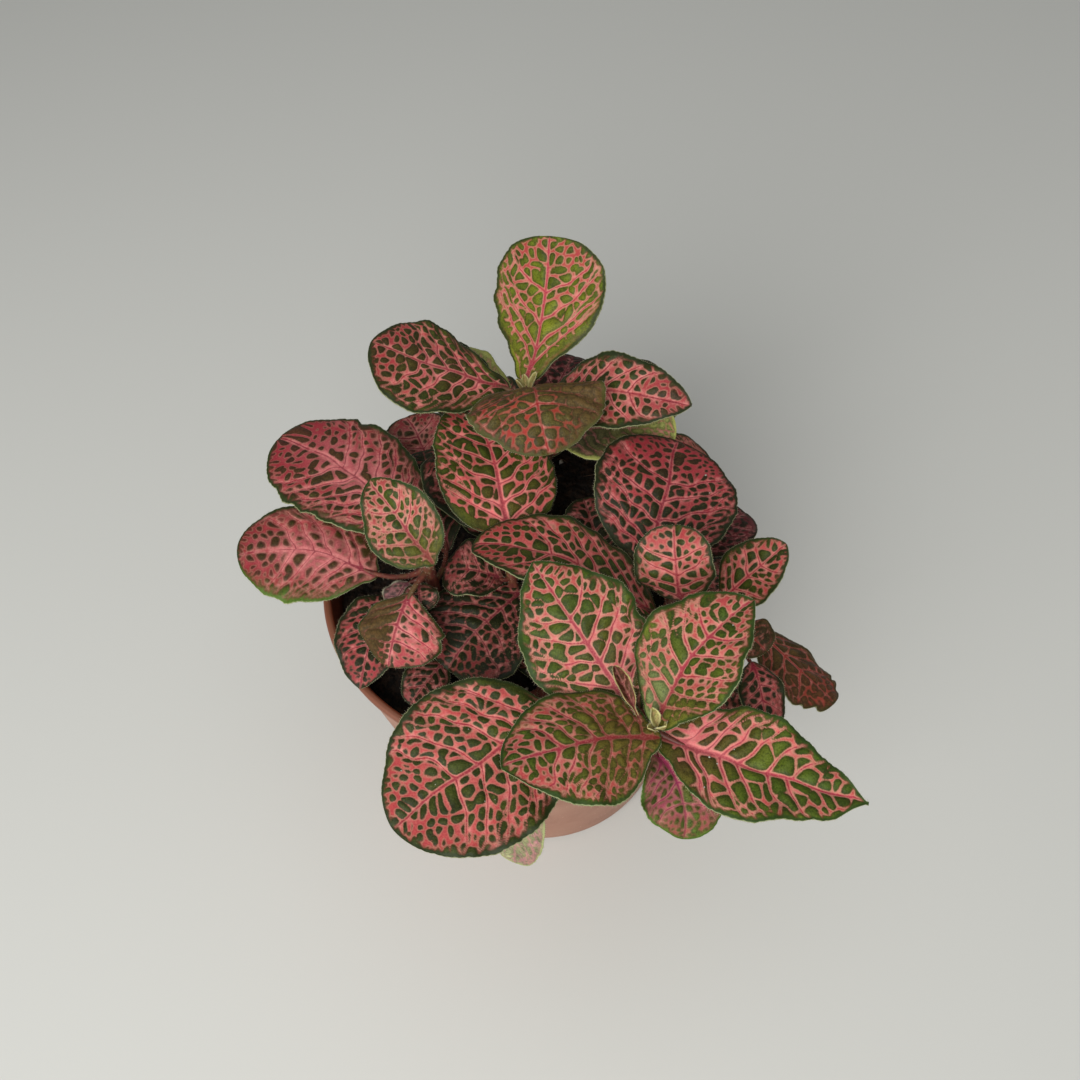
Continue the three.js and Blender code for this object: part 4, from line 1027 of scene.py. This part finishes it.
def leafSkin():
    n = Nodes("leafSkin")
    place = n.place()
    gap, rim, core = n.attribute("gap"), n.attribute("rim"), n.attribute("core")
    ragged = n.math("SUBTRACT", n.noise(leafFinish["wobbleSize"], 4, 0.6, place), 0.5)
    edge = n.math("MULTIPLY_ADD", ragged, leafFinish["wobble"], gap)
    blur = n.attribute("blur")
    blur = n.times(blur, n.ramp(rim, 0.8, 3.2, 2.4, 1.0))
    pink = n.ramp(edge, n.times(blur, -1), blur, 1, 0)
    pink = n.times(pink, n.ramp(n.math("MULTIPLY_ADD", ragged, 1.2, rim), 0.3, 1.4))
    grain = n.noise(leafFinish["grainSize"], 3, 0.6, place)
    mottle = n.noise(leafFinish["mottleSize"], 5, 0.68, place)

    # green, darker at an island's edge and speckled
    islandColour = n.attribute("island", "Color")
    green = n.blend(n.ramp(gap, 0.15, 0.9, 0.45, 0.0), islandColour, leafFinish["islandEdge"])
    green = n.blend(n.ramp(mottle, 0.5, 0.3, 0.0, 0.5), green, leafFinish["mottle"])
    speck = n.noise(leafFinish["speckSize"], 2, 0.75, place)
    green = n.blend(n.ramp(speck, 0.5, 0.3, 0.0, 0.55), green, leafFinish["speck"])
    # painted highlight: lighter green specks on the islands, where light glints off them
    light = n.times(n.ramp(mottle, 0.45, 0.7, 0.1, 0.6), n.ramp(speck, 0.5, 0.68))
    green = n.blend(light, green, n.blend(0.5, islandColour, leafFinish["light"]))
    margin = n.ramp(n.math("MULTIPLY_ADD", ragged, 1.1, rim), 1.3, 0.5, 0.0, 0.9)
    marginColour = n.attribute("margin", "Color")
    marginDark = n.blend(0.5, marginColour, leafFinish["marginDark"])
    marginColour = n.blend(n.ramp(speck, 0.35, 0.65, 0.0, 0.5), marginColour, marginDark)
    green = n.blend(margin, green, marginColour)

    # pink, palest along the main veins, each with a dark line down it
    lateral = n.attribute("lateral")
    toLine = n.math("ABSOLUTE", n.math("SUBTRACT", lateral, n.math("ROUND", lateral)))
    toLine = n.times(toLine, n.attribute("spacing"))
    toLine = n.math("MINIMUM", toLine, n.math("ABSOLUTE", n.attribute("fork")))
    toLine = n.math("MINIMUM", toLine, n.attribute("rib"))
    toLine = n.math("MULTIPLY_ADD", ragged, 0.14, toLine)
    veinColour, lineColour = n.attribute("vein", "Color"), n.attribute("line", "Color")
    deep = n.blend(n.ramp(grain, 0.35, 0.65, 0.0, 0.45), veinColour, lineColour)
    pale = n.blend(n.ramp(mottle, 0.35, 0.65, 0.0, 0.5), veinColour, leafFinish["cream"])
    vein = n.blend(n.ramp(toLine, 0.3, 2.2, 1, 0), deep, pale)
    line = n.ramp(toLine, n.times(core, 0.4), n.times(core, 2.0), 0.9, 0.0)
    line = n.times(line, n.ramp(grain, 0.3, 0.55, 0.6, 1.0))
    vein = n.blend(line, vein, lineColour)
    upper = n.blend(pink, green, vein)
    halo = n.ramp(n.math("ABSOLUTE", n.math("ADD", edge, 0.04)), 0.02, 0.2, 1, 0)
    halo = n.times(n.times(halo, n.attribute("halo")), n.ramp(rim, 0.6, 1.6))
    upper = n.blend(halo, upper, leafFinish["halo"])
    # a pale line along the very margin: partly the hairy rim's own colour, partly a painted highlight where
    # light catches the edge
    upper = n.blend(n.ramp(rim, 0.16, 0.04, 0.0, 0.55), upper, leafFinish["paleEdge"])

    # under side, paler, its veins standing out
    below = n.blend(n.times(pink, 0.65), leafFinish["underIsland"], leafFinish["underVein"])
    below = n.blend(n.times(line, 0.7), below, leafFinish["underVein"] * 0.6)
    below = n.blend(n.ramp(grain, 0.3, 0.8, 0, 0.3), below, leafFinish["underIsland"] * 0.55)
    face = n.ramp(n.attribute("upperFace"), 0.4, 0.6)
    n.set(Base_Color=n.blend(face, below, upper))
    rough = n.math("MULTIPLY_ADD", grain, 0.16, leafFinish["roughness"] - 0.08)
    n.set(Roughness=n.math("MULTIPLY_ADD", pink, 0.06, rough))
    n.set(Specular_IOR_Level=leafFinish["shine"], Sheen_Weight=leafFinish["sheen"], Sheen_Roughness=0.45)
    n.set(Sheen_Tint=leafFinish["sheenTint"])
    pimples = n.cells(leafFinish["pimpleSize"], "SMOOTH_F1", place)
    pimples = n.bump(pimples, leafFinish["pimpleDeep"], 0.8)
    creases = n.noise(leafFinish["creaseSize"], 4, 0.65, place)
    n.set(Normal=n.bump(creases, leafFinish["creaseDeep"], 0.65, pimples))
    return n.material


stalkFinish = dict(
    dark=tint(86, 37, 33), pale=tint(114, 62, 47), green=tint(88, 80, 40),
    streakSize=1.2, greenSize=4, bumpSize=0.5, bumpDeep=0.06,
)


def stalkSkin():
    n = Nodes("stalkSkin")
    place = n.place()
    streak = n.noise(stalkFinish["streakSize"], 3, 0.6, n.scaled(place, (1, 1, 0.25)))
    colour = n.blend(n.ramp(streak, 0.3, 0.7), stalkFinish["dark"], stalkFinish["pale"])
    greenish = n.ramp(n.noise(stalkFinish["greenSize"], 2, 0.5, place), 0.5, 0.7, 0, 0.6)
    colour = n.blend(greenish, colour, stalkFinish["green"])
    n.set(Base_Color=colour, Roughness=n.ramp(streak, 0.3, 0.8, 0.42, 0.6), Specular_IOR_Level=0.4)
    bumps = n.noise(stalkFinish["bumpSize"], 3, 0.6, place)
    n.set(Normal=n.bump(bumps, stalkFinish["bumpDeep"], 0.6))
    return n.material


leafMaterial = leafSkin()
stalkMaterial = stalkSkin()
soilLevel, rootDepth = 101, 9


def stemPointsOf(details):  # from the root in the soil up to the bud
    return [(*details["root"], soilLevel - rootDepth), *details["path"]]


for shoot, details in shoots.items():
    stemPoints = stemPointsOf(details)
    for number, leaf in enumerate(details["leaves"], 1):
        piece = leafMesh(f"{shoot}Leaf{number}", leaf, stemCurve(stemPoints, leaf["at"]))
        placePiece(piece, "leaf", f"{shoot}_leaf_{number}")
    for number, leaf in enumerate(details["lowLeaves"], 1):
        piece = leafMesh(f"{shoot}LowLeaf{number}", leaf, stemCurve(stemPoints, leaf["at"]))
        placePiece(piece, "leaf", f"{shoot}_stem")
    print(shoot, "shoot's leaves made")


# stems and buds

stemMake = dict(
    taper=0.82, sides=18, steps=90, swelling=0.22, swellingLength=1.6,  # thicker where leaves leave it
    budSink=1, budStalk=2.0,
    young=((0, 1, 62, 3.6), (180, 0.93, 62, 3.6),  # a bud's two young leaves: turn, share of its length,
           (85, 0.7, 42, 3), (265, 0.56, 30, 3)),  # pitch and width, and two smaller ones beside them
)


def stemMesh(name, details):
    stemPoints = stemPointsOf(details)
    draw = drawFor(name)
    places = np.linspace(0, 1, stemMake["steps"])
    path = np.array([stemCurve(stemPoints, f) for f in places])
    run = runOf(path)
    radii = details["radius"] * np.linspace(1.05, stemMake["taper"], len(path))
    for leaf in details["leaves"] + details["lowLeaves"]:
        at = np.interp(leaf["at"], places, run)
        swell = stemMake["swelling"] * np.exp(-(((run - at) / stemMake["swellingLength"]) ** 2))
        radii = np.maximum(radii, details["radius"] * 0.9 * (1 + swell))
    radii[-4:] *= [0.95, 0.85, 0.65, 0.35]
    radii = radii * (1 + 0.04 * ripples(draw, run, np.zeros_like(run), 3))
    hairs.append(hairsAlong(draw, path[30:], radii[30:]))
    stem, quads, fans = tube(path, radii, stemMake["sides"])
    return makeMesh(name, stem, quads, fans, [stalkMaterial])


def makeBud(shoot, details):
    foot = np.array(details["path"][-1], float) + [0, 0, details.get("budLift", 0)]
    for number, (turn, share, pitch, wide) in enumerate(stemMake["young"], 1):
        bearing, lean = math.radians(details["budTurn"] + turn), math.radians(pitch)
        long, level = details["bud"] * share, math.cos(lean)
        reach = np.array([math.cos(bearing) * level, math.sin(bearing) * level, math.sin(lean)])
        young = blade(foot - [0, 0, stemMake["budSink"]], foot + reach * long, wide, rise=-0.5, fold=38,
                      wave=0.15, ripple=0.1, tone="bud", aged=0.4, shape=(0.7, 0.6), net=0.5, alike=1)
        piece = leafMesh(f"{shoot}Bud{number}", young, foot - [0, 0, stemMake["budStalk"]])
        placePiece(piece, "leaf", f"{shoot}_stem")


for shoot, details in shoots.items():
    placePiece(stemMesh(f"{shoot}Stem", details), "stem", f"{shoot}_stem")
    makeBud(shoot, details)
print("stems and buds made")


# pot

potMake = dict(  # mm
    height=111, rimRadius=60, footRadius=45, wall=1.5, lipHeight=3, lipOverhang=0.8, edgeRound=0.6,
    footRing=6, channel=2, pad=24, drainHoles=6, drainRadius=3.5, sides=192,
    cornerRound=0.5, step=6,
    waver=((2, 0.18), (5, 0.07)),  # the rim isn't quite round: how many waves go round, and how deep
)
potFinish = dict(  # sizes in mm, and heights above the table in metres, from where to where
    cloudSize=26, grainSize=0.7, streakSize=3.5, fleckEach=4.2, hoopPitch=1.6, hoopDeep=0.012,
    rimHeights=(0.1088, 0.1099), dampHeights=(0.108, 0.1035), dustAndBounceHeights=(0.07, 0.0),
    # wall and wallPale are paler than inside and rim: partly the plastic's haze, partly painted light bounced
    # up from the white table
    wall=tint(150, 100, 79), wallPale=tint(168, 124, 104), inside=tint(142, 72, 48),
    scuff=tint(214, 178, 160), earth=tint(40, 28, 22), rim=tint(112, 62, 42), roughness=0.52,
)


def potWallRadius(z):
    widest = potMake["rimRadius"] - potMake["lipOverhang"]
    return potMake["footRadius"] + (widest - potMake["footRadius"]) * z / potMake["height"]


def potInside(z):
    return potWallRadius(z) - potMake["wall"]


def rounded(profile, radius, steps=4):  # the same outline with small round corners
    points = [np.array(profile[0], float)]
    for before, corner, after in zip(profile[:-2], profile[1:-1], profile[2:]):
        before, corner, after = (np.array(p, float) for p in (before, corner, after))
        cut = min(radius, 0.4 * np.linalg.norm(before - corner), 0.4 * np.linalg.norm(after - corner))
        a, b = corner + unit(before - corner) * cut, corner + unit(after - corner) * cut
        for f in np.linspace(0, 1, steps):
            points.append(a * (1 - f) ** 2 + corner * 2 * f * (1 - f) + b * f ** 2)
    return points + [np.array(profile[-1], float)]


def lathe(profile, sides):  # a profile of radius and height from axis to axis, turned about Z
    turn = turnsOf(sides)
    rings = [np.stack([r * np.cos(turn), r * np.sin(turn), np.full(sides, z)], -1) for r, z in profile[1:-1]]
    points = np.concatenate(rings + [[(0, 0, profile[0][1])], [(0, 0, profile[-1][1])]])
    return points, *ringFaces(len(rings), sides, 0, len(points) - 2, len(points) - 1)


def cut(piece, cutters):  # takes the cutters' shapes out of a piece
    for cutter in cutters:
        hole = piece.modifiers.new("hole", "BOOLEAN")
        hole.operation = "DIFFERENCE"
        hole.solver = "EXACT"
        hole.object = cutter
    bpy.context.view_layer.update()
    shaped = bpy.data.meshes.new_from_object(piece.evaluated_get(bpy.context.evaluated_depsgraph_get()))
    piece.modifiers.clear()
    old, piece.data = piece.data, shaped
    bpy.data.meshes.remove(old)
    for cutter in cutters:
        bpy.data.objects.remove(cutter)


def makePot():
    p = potMake
    foot, lipFoot, floorTop = p["footRadius"], p["height"] - p["lipHeight"], p["channel"] + p["wall"]
    rim, edge, top, channel = p["rimRadius"], p["edgeRound"], p["height"], p["channel"]
    profile = [
        (0, 0), (p["pad"], 0), (p["pad"] + channel, channel), (foot - p["footRing"], channel),
        (foot - p["footRing"] + channel, 0), (foot - channel, 0), (potWallRadius(channel), channel),
        (potWallRadius(lipFoot), lipFoot), (rim, lipFoot + p["lipOverhang"]), (rim, top - edge),
        (rim - edge, top), (potInside(top) + edge, top), (potInside(top - edge), top - edge),
        (potInside(floorTop), floorTop), (0, floorTop)]
    fine = rounded(profile, p["cornerRound"])
    filled = []
    for a, b in zip(fine[:-1], fine[1:]):  # long stretches are cut up so that the wall can waver a little
        parts = max(1, int(np.linalg.norm(b - a) / p["step"])) if min(a[0], b[0]) > 40 else 1
        filled += [mix(a, b, k / parts) for k in range(parts)]
    filled.append(fine[-1])
    points, quads, fans = lathe(filled, p["sides"])
    draw = drawFor("pot")
    turn, radius = np.arctan2(points[:, 1], points[:, 0]), np.hypot(points[:, 0], points[:, 1])
    high = ease(points[:, 2], 30, p["height"])
    (few, deep), (many, slight) = p["waver"]
    waver = deep * high * np.sin(few * turn + 0.7) + slight * high * np.sin(many * turn + draw.uniform(0, 6))
    scale = 1 + np.where(radius > 1, waver / np.maximum(radius, 1), 0)
    points[:, :2] *= scale[:, None]
    wallSkin, insideSkin = potSkin("potWall", False), potSkin("potInside", True)
    pot = makeMesh("plantPot", points, quads, fans, [wallSkin, insideSkin])
    ring = (p["pad"] + foot - p["footRing"] + p["channel"]) / 2
    cutters = []
    for k in range(p["drainHoles"]):
        turn = 2 * math.pi * k / p["drainHoles"]
        centre = np.array([ring * math.cos(turn), ring * math.sin(turn), 0])
        path = [centre + [0, 0, z] for z in (-4, 2, 8)]
        hole, holeQuads, holeFans = tube(path, [p["drainRadius"]] * 3, 40)
        cutters.append(makeMesh(f"hole{k}", hole, holeQuads, holeFans, []))
    cut(pot, cutters)
    middle = np.zeros(len(pot.data.polygons) * 3)
    pot.data.polygons.foreach_get("center", middle)
    middle = middle.reshape(-1, 3) / mm
    reach = np.hypot(middle[:, 0], middle[:, 1])
    within = (reach < potWallRadius(middle[:, 2]) - p["wall"] * 0.6) & (middle[:, 2] > channel + 0.5)
    pot.data.polygons.foreach_set("material_index", within.astype(int))
    pot.data.shade_smooth()
    pot.data.set_sharp_from_angle(angle=math.radians(35))
    return placePiece(pot, "pot", "pot")


def potSkin(name, inner):
    n = Nodes(name)
    place = n.place()
    height = n.parts(place)[2]
    cloud = n.noise(potFinish["cloudSize"], 3, 0.55, place)
    grain = n.noise(potFinish["grainSize"], 4, 0.65, place)
    if inner:
        colour = n.blend(n.ramp(cloud, 0.3, 0.75), potFinish["inside"], potFinish["inside"] * 0.72)
        damp = n.math("MULTIPLY_ADD", n.noise(5, 3, 0.6, place), 0.006, height)
        damp = n.ramp(damp, *potFinish["dampHeights"])
        dirt = n.times(n.ramp(n.noise(2.2, 4, 0.7, place), 0.5, 0.62), damp)
        colour = n.blend(n.math("MAXIMUM", dirt, n.times(damp, 0.45)), colour, potFinish["earth"])
    else:
        # the outer wall, paler than the inside: partly its haze, partly painted light bounced from the table
        colour = n.blend(n.ramp(cloud, 0.3, 0.75), potFinish["wall"], potFinish["wallPale"])
        # paler towards the bottom in blotches: dust, and painted light bounced up from the table
        dustAndBounce = n.ramp(n.noise(7, 4, 0.6, place), 0.35, 0.7)
        dustAndBounce = n.times(n.ramp(height, *potFinish["dustAndBounceHeights"], 0.0, 0.5), dustAndBounce)
        colour = n.blend(dustAndBounce, colour, potFinish["wallPale"])
        streak = n.noise(potFinish["streakSize"], 3, 0.6, n.scaled(place, (1, 1, 0.06)))
        colour = n.blend(n.ramp(streak, 0.56, 0.75, 0, 0.35), colour, potFinish["wall"] * 0.78)
        colour = n.blend(n.ramp(height, *potFinish["rimHeights"], 0, 0.8), colour, potFinish["rim"])
    fleck = n.ramp(n.cells(potFinish["fleckEach"], "F1", place), 0.075, 0.05)
    colour = n.blend(n.times(fleck, 0.6), colour, potFinish["scuff"])
    colour = n.blend(n.ramp(grain, 0.4, 0.8, 0, 0.18), colour, potFinish["wall"] * 0.6)
    n.set(Base_Color=colour, Specular_IOR_Level=0.42)
    n.set(Roughness=n.math("MULTIPLY_ADD", cloud, 0.22, potFinish["roughness"] - 0.11))
    hoops = n.math("SINE", n.times(height, 2 * math.pi / (potFinish["hoopPitch"] * mm)))
    hoops = n.bump(hoops, potFinish["hoopDeep"], 0.5)  # the fine rings that its mould leaves
    n.set(Normal=n.bump(grain, 0.05, 0.7, n.bump(n.noise(9, 2, 0.5, place), 0.35, 0.5, hoops)))
    return n.material


# soil

soilMake = dict(
    relief=1.3, gap=0.35, rings=84, sides=240, crumbs=620, perlite=34, fibres=70,
    crumbSize=(0.7, 2.6), perliteSize=(0.7, 1.8), perliteLift=0.35,
    fibreLong=(2.5, 7), fibreCurl=(-0.6, 0.6), fibreRadius=0.16,
    crumble=((9, 0.55, "a"), (4, 0.42, "b"), (2, 0.26, "c"), (1.1, 0.15, "d")),  # bumps' size and depth
)
soilFinish = dict(
    dark=tint(20, 16, 13), brown=tint(58, 42, 32), perlite=tint(196, 190, 178), fibre=tint(96, 70, 48),
    clumpSize=2.4, roughness=0.93,
)


def soilHeight(x, y):
    mounds = np.sin(0.19 * x + 1) * np.cos(0.23 * y) + 0.6 * np.sin(0.37 * x - 0.31 * y)
    edge = np.hypot(x, y) / potInside(soilLevel)
    return soilMake["relief"] * mounds * (1 - edge ** 4)


def crumbleOf(x, y):  # the soil's own roughness, in mm
    total = np.zeros_like(x)
    for size, depth, seed in soilMake["crumble"]:
        total += depth * np.abs(ripples(drawFor("soil" + seed), x, y, size, 7)) - depth * 0.5
    return total


def lump(draw, centre, size, flat=0.7):  # an uneven little stone of 42 points
    rows, sides = 5, 8
    points = [[0, 0, 1.0]]
    for k in range(1, rows + 1):
        lean, turn = math.pi * k / (rows + 1), turnsOf(sides) + k * 0.4
        points += [[math.sin(lean) * math.cos(a), math.sin(lean) * math.sin(a), math.cos(lean)] for a in turn]
    points = np.array(points + [[0, 0, -1.0]])
    points *= draw.uniform(0.72, 1.25, (len(points), 1))
    across = [draw.uniform(0.8, 1.3), draw.uniform(0.7, 1.1), flat * draw.uniform(0.8, 1.2)]
    points *= size / 2 * np.array(across)
    angle = draw.uniform(0, 2 * math.pi)
    sine, cosine = math.sin(angle), math.cos(angle)
    turned = np.array([[cosine, -sine, 0], [sine, cosine, 0], [0, 0, 1]])
    return points @ turned.T + centre, *ringFaces(rows, sides, 1, 0, len(points) - 1, True)


def gather(name, parts, materials):  # one mesh of many small shapes
    points, quads, fans, offset = [], [], [], 0
    for p, q, f in parts:
        points.append(p)
        quads.append(np.asarray(q, int).reshape(-1, 4) + offset)
        fans.append(np.asarray(f, int).reshape(-1, 3) + offset)
        offset += len(p)
    return makeMesh(name, np.concatenate(points), np.concatenate(quads), np.concatenate(fans), materials)


def makeSoil():
    outer = potInside(soilLevel) - soilMake["gap"]
    rings, sides = soilMake["rings"], soilMake["sides"]
    turn = turnsOf(sides)
    reach = outer * (np.arange(1, rings + 1) / rings) ** 0.8
    x, y = np.outer(reach, np.cos(turn)), np.outer(reach, np.sin(turn))
    z = soilLevel + soilHeight(x, y) + crumbleOf(x, y) * ease(outer - np.hypot(x, y), 0, 1.5)
    top = np.stack([x, y, z], -1).reshape(-1, 3)
    floor = potMake["channel"] + potMake["wall"] + soilMake["gap"]
    low = potInside(floor) - soilMake["gap"]
    base = np.stack([low * np.cos(turn), low * np.sin(turn), np.full(sides, floor)], -1)
    middle = [[0, 0, soilLevel + soilHeight(0.0, 0.0)], [0, 0, floor]]
    points = np.concatenate([top, base, middle])
    faces = ringFaces(rings + 1, sides, 0, len(points) - 2, len(points) - 1, True)
    soilMaterial = soilSkin()
    placePiece(makeMesh("soilBed", points, *faces, [soilMaterial]), "soil", "soil")

    draw = drawFor("crumbs")

    def spot(size):  # a place on the soil for something of that size
        r, a = (outer - size * 0.7) * math.sqrt(draw.uniform()), draw.uniform(0, 2 * math.pi)
        px, py = r * math.cos(a), r * math.sin(a)
        return np.array([px, py, soilLevel + soilHeight(px, py) + size * 0.12])

    parts = []
    for _ in range(soilMake["crumbs"]):
        size = mix(*soilMake["crumbSize"], draw.uniform() ** 2.2)
        parts.append(lump(draw, spot(size), size))
    placePiece(gather("soilCrumbs", parts, [soilMaterial]), "soil", "soil")
    parts = []
    for _ in range(soilMake["perlite"]):
        size = mix(*soilMake["perliteSize"], draw.uniform() ** 1.5)
        parts.append(lump(draw, spot(size) + [0, 0, soilMake["perliteLift"]], size, 0.85))
    n = Nodes("perlite")
    chalk, white = n.noise(0.6, 3, 0.6, n.place()), soilFinish["perlite"]
    n.set(Base_Color=n.blend(n.ramp(chalk, 0.35, 0.7), white, white * 0.45))
    n.set(Roughness=0.85, Normal=n.bump(chalk, 0.2, 0.8))
    placePiece(gather("perlite", parts, [n.material]), "soil", "soil")
    parts = []
    for _ in range(soilMake["fibres"]):
        long = draw.uniform(*soilMake["fibreLong"])
        start = spot(long)
        angle, curl = draw.uniform(0, 2 * math.pi), draw.uniform(*soilMake["fibreCurl"])
        f = np.linspace(0, 1, 7)
        px = start[0] + long * f * np.cos(angle + curl * f)
        py = start[1] + long * f * np.sin(angle + curl * f)
        inside = np.hypot(px, py) < outer - 0.6
        px, py = px * np.where(inside, 1, 0.97), py * np.where(inside, 1, 0.97)
        pz = soilLevel + soilHeight(px, py) + 0.5 + 0.9 * np.sin(math.pi * f) * draw.uniform(0.2, 1)
        thick = soilMake["fibreRadius"] * np.sin(math.pi * (0.12 + 0.8 * f))
        parts.append(tube(np.stack([px, py, pz], -1), thick, 5))
    n, husk = Nodes("fibre"), soilFinish["fibre"]
    n.set(Base_Color=n.blend(n.noise(1.5, 2, 0.6, n.place()), husk, husk * 0.35), Roughness=0.8)
    placePiece(gather("soilFibres", parts, [n.material]), "soil", "soil")


def soilSkin():
    n = Nodes("peat")
    place = n.place()
    clump = n.noise(soilFinish["clumpSize"], 5, 0.65, place)
    colour = n.blend(n.ramp(clump, 0.42, 0.72), soilFinish["dark"], soilFinish["brown"])
    colour = n.blend(n.ramp(n.cells(1.1, "F1", place), 0.1, 0.5, 0.5, 0.0), colour, soilFinish["dark"] * 0.5)
    rough = soilFinish["roughness"]
    n.set(Base_Color=colour, Roughness=n.ramp(clump, 0.3, 0.7, rough - 0.25, rough))
    n.set(Specular_IOR_Level=0.25)
    n.set(Normal=n.bump(n.noise(0.5, 4, 0.7, place), 0.35, 0.9, n.bump(n.cells(1.3, "F1", place), 0.6, 0.7)))
    return n.material


makePot()
print("pot made")
makeSoil()
print("soil made")

down = Nodes("hair")
down.set(Base_Color=hairMake["colour"], Roughness=hairMake["roughness"])
stemNodes = [f"{shoot}_stem" for shoot in shoots]
placePiece(gather("hairs", hairs, [down.material]), "stem", *stemNodes)
draw = drawFor("specks")
bits = [lump(draw, centre, wide, 0.6) for centre, wide in specks]
placePiece(gather("specks", bits, [bpy.data.materials["perlite"]]), "leaf", *stemNodes)
print("hairs and specks made")


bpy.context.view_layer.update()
